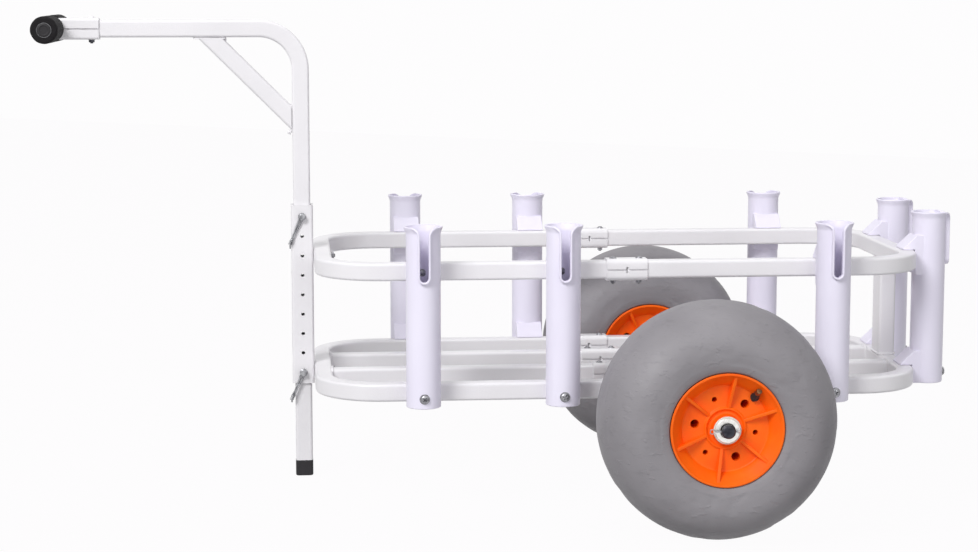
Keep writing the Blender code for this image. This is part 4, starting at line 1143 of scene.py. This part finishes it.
def rim_shape():
    hollow = [(CAVITY_R, CAVITY_Y), (HUB_R, CAVITY_Y)]
    cuts = [turned(hollow + mirrored(hollow[::-1], -1), 96, "Y", loop=True)]
    for index in range(6):
        turn = math.radians(RIB_TURN + 30 + 60 * index)
        hole = prism(ring(HOLE_RADII[index % 2], 28), -LIP_Y, LIP_Y, "Y")
        cuts.append(moved(hole, (HOLE_RING * math.cos(turn), 0, HOLE_RING * math.sin(turn))))
    solid = combined(turned(rim_section(), 120, "Y", loop=True), cuts)
    ribs = [rim_rib(RIB_TURN + 60 * index, side) for index in range(6) for side in (-1, 1)]
    return together(solid, *ribs)


# %% [markdown]
# The valve leans out of the dish between two ribs, a black rubber stem with a metal cap. The bush is the
# pale sleeve that turns on the axle. Both wheels are alike, the far one turned round to face outwards
# and rolled on a little, because two wheels never stop at the same angle.

# %% Valve and bush
VALVE_TURN, VALVE_LEAN, VALVE_TILT = math.radians(46.6), math.radians(75), math.radians(36)
VALVE_R = 0.0566
STEM = [(0.0015, -0.0046), (0.0040, -0.0044), (0.0045, 0.0010), (0.0062, 0.0016), (0.0061, 0.0032)]
STEM += [(0.0048, 0.0050), (0.0045, 0.0128), (0.0040, 0.0136), (0.0010, 0.0138)]
CAP = [(0.0012, 0.0130), (0.0036, 0.0130), (0.0041, 0.0134)]
CAP += [(0.0041, 0.0200), (0.0036, 0.0214), (0.0012, 0.0218)]
BUSH_BORE, BUSH_R, FLANGE_R = 0.0097, 0.0140, 0.0189
BUSH_LINE = [(BUSH_BORE, -FLANGE_Y), (FLANGE_R - 0.0005, -FLANGE_Y), (FLANGE_R, 0.0005 - FLANGE_Y)]
BUSH_LINE += [(FLANGE_R, FLANGE - FLANGE_Y), (BUSH_R, FLANGE - FLANGE_Y)]
BUSH_LINE += [(BUSH_R, HUB_HALF), (BUSH_BORE, HUB_HALF)]


def stood(profile, steps=28):
    """A profile turned about the valve's own leaning axis."""
    place = Vector((VALVE_R * math.cos(VALVE_TURN), -DISC_Y - 0.0012, VALVE_R * math.sin(VALVE_TURN)))
    sideways = Vector((math.cos(VALVE_LEAN), 0, math.sin(VALVE_LEAN)))
    heading = Vector((0, -math.cos(VALVE_TILT), 0)) + sideways * math.sin(VALVE_TILT)
    seat = frame_at(place, heading, sideways)
    return skin([[seat @ Vector((a, b, level)) for a, b in ring(radius, steps)] for radius, level in profile])


print("valve points", len(STEM) + len(CAP))

# %% Both wheels
FAR_ROLL = math.radians(-17)
FAR_TURN = Matrix.Rotation(FAR_ROLL, 4, "Y") @ Matrix.Rotation(math.pi, 4, "Z")
WHEEL = {
    "tyre": (tyre_shape(), TYRE, "tyre"),
    "rim": (rim_shape(), ORANGE, "rim"),
    "hub_bush": (turned(BUSH_LINE, 64, "Y", loop=True), BUSH, "hub_bush"),
    "valve_stem": (stood(STEM), RUBBER, "valve_stem"),
    "valve_cap": (stood(CAP), BRASS, "valve_stem"),
}
for side, sign in SIDES:
    for name, (shape, finish, node) in WHEEL.items():
        piece = moved(shape.copy(), (0, sign * WHEEL_Y, AXLE_Z), FAR_TURN if sign > 0 else None)
        show(f"{side}_{name}", piece, finish, f"{side}_wheel", 45.0, f"{side}_{node}")
for shape, _, _ in WHEEL.values():
    shape.free()

# %% [markdown]
# ## Screws, bolts and nuts
# The cart is held together by more than fifty small fasteners. They repeat, so Geometry Nodes place
# them: a point for each with the direction in which its head looks, one drawn head, and a random turn
# about its own axis with a fixed seed, because no two screws stop at the same angle.

# %% The node tree
TREE_INPUTS = {"Places": "Geometry", "Head": "Object", "Size": "Float", "Seed": "Int", "Finish": "Material"}


def fastener_tree():
    tree = bpy.data.node_groups.new("fasteners", "GeometryNodeTree")
    for name, kind in TREE_INPUTS.items():
        tree.interface.new_socket(name, in_out="INPUT", socket_type=f"NodeSocket{kind}")
    tree.interface.new_socket("Fasteners", in_out="OUTPUT", socket_type="NodeSocketGeometry")
    nodes = Nodes(tree)
    source = tree.nodes.new("NodeGroupInput")
    given = {name: Term(nodes, source.outputs[name]) for name in TREE_INPUTS}
    values = {"Name": "axis"}
    axis = nodes.node("GeometryNodeInputNamedAttribute", values, "Attribute", data_type="FLOAT_VECTOR")
    facing = nodes.node("FunctionNodeAlignRotationToVector", {"Vector": axis})
    values = {3: 2 * math.pi, "Seed": given["Seed"]}
    angle = nodes.node("FunctionNodeRandomValue", values, 1, data_type="FLOAT")
    spin = nodes.node("FunctionNodeAxisAngleToRotation", {"Axis": (0, 0, 1), "Angle": angle})
    values = {"Rotation": facing, "Rotate By": spin}
    turn = nodes.node("FunctionNodeRotateRotation", values, rotation_space="LOCAL")
    head = nodes.node("GeometryNodeObjectInfo", {"Object": given["Head"]}, "Geometry")
    values = {"Points": given["Places"], "Instance": head, "Rotation": turn, "Scale": given["Size"]}
    heads = nodes.node("GeometryNodeInstanceOnPoints", values)
    real = nodes.node("GeometryNodeRealizeInstances", {"Geometry": heads})
    coated = nodes.node("GeometryNodeSetMaterial", {"Geometry": real, "Material": given["Finish"]})
    nodes.feed(tree.nodes.new("NodeGroupOutput").inputs["Fasteners"], coated)
    return tree


TREE = fastener_tree()
print("tree nodes", len(TREE.nodes))


# %% Put heads on places
HEAD_SHARP = 32


def fasteners(name, head, places, finish, seed, size=1.0, owner="cart_frame"):
    """Places are (point, direction) in the cart's own axes. The result is one plain mesh."""
    mesh = bpy.data.meshes.new(name)
    mesh.from_pydata([CART @ Vector(point) for point, _ in places], [], [])
    axis = mesh.attributes.new("axis", "FLOAT_VECTOR", "POINT")
    for item, (_, heading) in zip(axis.data, places):
        item.vector = CART.to_3x3() @ Vector(heading)
    made = placed(name, mesh)
    template = placed("head", plain_mesh(head.copy(), "head"))
    template.data.shade_smooth()
    template.data.set_sharp_from_angle(angle=math.radians(HEAD_SHARP))
    modifier = made.modifiers.new("fasteners", "NODES")
    modifier.node_group = TREE
    values = {"Head": template, "Size": size, "Seed": seed, "Finish": finish.material}
    for item in TREE.interface.items_tree:
        if item.in_out == "INPUT" and item.name in values:
            modifier[item.identifier] = values[item.name]
    settle(made)
    bpy.data.objects.remove(template)
    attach(made, owner)


# %% [markdown]
# Three heads are enough. The holders' screws have a wide pan head with a cross recess over a washer. The
# clamps' bolts have a domed head, and a hexagon nut with the bolt's end showing below it.

# %% Screw and bolt heads
CENTRE = 0.0012
RECESS_LONG, RECESS_WIDE = 0.0074, 0.0019


def pan_head():
    profile = [(CENTRE, 0.0046), (0.0030, 0.0045), (0.0050, 0.0038), (0.0061, 0.0026), (0.0063, 0.0015)]
    profile += [(0.0058, 0.0012), (0.0070, 0.0012), (0.0072, 0.0009), (0.0072, 0.0), (CENTRE, 0.0)]
    sizes = ((RECESS_LONG, RECESS_WIDE), (RECESS_WIDE, RECESS_LONG))
    cross = [prism(rounded(long, wide, 0.0004, 2), 0.0008, 0.01) for long, wide in sizes]
    return combined(turned(profile, 36, "Z"), cross)


def dome_head():
    profile = [(0.0010, 0.0034), (0.0026, 0.0031), (0.0040, 0.0022), (0.0047, 0.0008), (0.0047, 0.0006)]
    return turned(profile + [(0.0060, 0.0006), (0.0062, 0.0), (CENTRE, 0.0)], 28, "Z")


# %% Nut
NUT_TALL, NUT_ACROSS, NUT_PLATE = 0.0034, 0.0075, 0.0008
THREAD_R, THREAD_DEEP, THREAD_PITCH, THREADS = 0.0020, 0.0003, 0.0005, 4


def hex_nut():
    nut = prism(ring(NUT_ACROSS / math.sqrt(3), 6), NUT_PLATE, NUT_TALL + NUT_PLATE)
    cone = [(NUT_ACROSS * 0.56, 0.0), (NUT_ACROSS * 0.66, NUT_TALL), (NUT_ACROSS * 0.49, NUT_TALL + 0.0009)]
    nut = combined(nut, [turned(cone, 36, "Z")], "INTERSECT")
    plate = [(CENTRE, 0.0), (0.0050, 0.0), (0.0050, NUT_PLATE), (CENTRE, NUT_PLATE)]
    turns = []
    for step in range(THREADS):
        low = NUT_TALL + 0.0004 + step * THREAD_PITCH
        first, second = [THREAD_R + THREAD_DEEP * ((step + more) % 2) for more in (0, 1)]
        turns.append(turned([(first, low), (second, low + THREAD_PITCH)], 20, "Z"))
    return together(nut, turned(plate, 28, "Z"), *turns)


PAN, DOME, NUT = pan_head(), dome_head(), hex_nut()
print("heads", [len(shape.faces) for shape in (PAN, DOME, NUT)])

# %% Screws of the holders and bolts of the clamps
SPLICE_BOLT_X = 0.0185
SMALL = 0.85
screws, inner_screws = [], []
for _, place, outward in holder_places():
    screws.append((place + outward * (HOLDER - 0.0006) + Vector((0, 0, LOWER_Z)), outward))
    inner_screws.append((place - outward * HOLDER_BORE + Vector((0, 0, UPPER_Z)), outward))
fasteners("holder_screws", PAN, screws, SCREW, 3)
fasteners("holder_inner_screws", DOME, inner_screws, ZINC, 4, SMALL)

shell = TUBE / 2 + GAP + SPLICE_WALL
spots = [(SPLIT_X + way * SPLICE_BOLT_X, y, z) for _, y, z in SPLICES for way in (-1, 1)]
tops = [((x, y, z + shell), (0, 0, 1)) for x, y, z in spots]
bottoms = [((x, y, z - shell), (0, 0, -1)) for x, y, z in spots]
fasteners("splice_bolt_heads", DOME, tops, SCREW, 5, SMALL)
fasteners("splice_nuts", NUT, bottoms, SCREW, 7)

# %% Fasteners of axle, sleeve, brace and grip
STRAP_SCREW_X = 0.0235
TAB_NUT = 0.0205
CLAMP_BOLT_X = -0.8625
DOWN, UP, AHEAD, BACK = (0, 0, -1), (0, 0, 1), (-1, 0, 0), (1, 0, 0)
strap_z = AXLE_Z + AXLE - STRAP
straps = [((way * STRAP_SCREW_X, y, strap_z), DOWN) for _, y in STRAP_PLACES for way in (-1, 1)]
sleeve = [((FRONT_X + TUBE / 2, 0, z), BACK) for z in (LOWER_Z, UPPER_Z)]
tabs = [((BRACE_TOP_X + TAB_NUT, 0, ARM_FACE - TAB), DOWN), ((LEG_FACE - TAB, 0, BRACE_LOW - TAB_NUT), AHEAD)]
fasteners("strap_screws", DOME, straps, ZINC, 11)
fasteners("sleeve_nuts", NUT, sleeve, SCREW, 13, 1.2)
fasteners("brace_screws", NUT, tabs, POWDER, 17, SMALL, "mast")
fasteners("clamp_nut", NUT, [((CLAMP_BOLT_X, 0, ARM_Z - CLAMP_HALF), DOWN)], STEEL, 19, owner="mast")
fasteners("clamp_bolt_head", DOME, [((CLAMP_BOLT_X, 0, ARM_Z + CLAMP_HALF), UP)], POWDER, 23, owner="mast")
for shape in (PAN, DOME, NUT):
    shape.free()

# %% [markdown]
# ## Stage, light and camera
# The photo was taken in a white studio: soft light from the upper left, weaker ones from the front and
# above, and a background of pure white. The floor and the world look white only to the camera, to
# mirrors and through glass. To the lamps the floor is a plain pale surface, which keeps the cart's
# shadow, and the world is a grey light from all sides.

# %% Floor
FLOOR_SIDE, FLOOR_THICK = 16, 0.02
FLOOR_GLOW = 0.97


def camera_sees(nodes):
    kinds = ("Is Camera Ray", "Is Glossy Ray", "Is Transmission Ray")
    camera, glossy, through = [nodes.node("ShaderNodeLightPath", output=kind) for kind in kinds]
    return camera.sum("MAXIMUM", camera.sum("MAXIMUM", camera, glossy), through)


def white_floor():
    made = Finish("studio_floor")
    made.set(Base_Color=(0.40, 0.40, 0.40), Roughness=0.9)
    glow = made.node("ShaderNodeEmission", {"Color": (1, 0.992, 1)})
    plain = Term(made, made.shader.outputs[0])
    shown = made.node("ShaderNodeMixShader", {0: camera_sees(made) * FLOOR_GLOW, 1: plain, 2: glow})
    made.feed(made.tree.nodes["Material Output"].inputs["Surface"], shown)
    return made


slab = prism(rounded(FLOOR_SIDE, FLOOR_SIDE, 0.5, 4), -FLOOR_THICK, 0.0)
floor = placed("studio_floor", plain_mesh(slab, "studio_floor"))
floor.data.materials.append(white_floor().material)
print("floor", [round(side, 2) for side in floor.dimensions])

# %% World
WORLD_LIGHT, WORLD_SEEN = (0.33, 0.33, 0.34), (0.985, 0.979, 0.985)
world = bpy.data.worlds.new("studio")
world.use_nodes = True
bpy.context.scene.world = world
sky = Nodes(world.node_tree)
shade = sky.mixed(camera_sees(sky), WORLD_LIGHT, WORLD_SEEN)
sky.feed(sky.tree.nodes["Background"].inputs["Color"], shade)
print("world", world.name)


# %% Lamps
def lamp(name, place, aim, size, power):
    light = bpy.data.lights.new(name, "AREA")
    light.shape = "DISK"
    light.size = size
    light.energy = power
    made = placed(name, light)
    made.location = place
    made.rotation_euler = (Vector(aim) - Vector(place)).to_track_quat("-Z", "Y").to_euler()


lamp("key", (-3.1, -3.9, 4.0), (0, 0, 0.3), 2.7, 270)
lamp("front", (1.6, -4.3, 1.6), (0.3, 0, 0.3), 3.0, 36)
lamp("top", (0.3, 0.4, 3.0), (0.1, 0, 0.2), 2.2, 14)
print("lamps", len(bpy.data.lights))

# %% Camera
YAW, PITCH = math.radians(-5.22), math.radians(7.5)
STAND = (-0.5805, -3.2479, 0.7534)
FOCAL_PIXELS, PICTURE_WIDTH, SENSOR = 2200, 978, 36.0
right = Vector((math.cos(YAW), math.sin(YAW), 0))
ahead = Vector((-math.sin(YAW) * math.cos(PITCH), math.cos(YAW) * math.cos(PITCH), -math.sin(PITCH)))
stand = Matrix((right, right.cross(ahead), -ahead)).transposed().to_4x4()
stand.translation = STAND
lens = bpy.data.cameras.new("camera")
lens.sensor_width = SENSOR
lens.lens = SENSOR * FOCAL_PIXELS / PICTURE_WIDTH
camera = placed("camera", lens)
camera.matrix_world = CART @ stand
bpy.context.scene.camera = camera
bpy.context.scene.view_settings.view_transform = "Standard"
print("lens", round(lens.lens, 2), "mm")
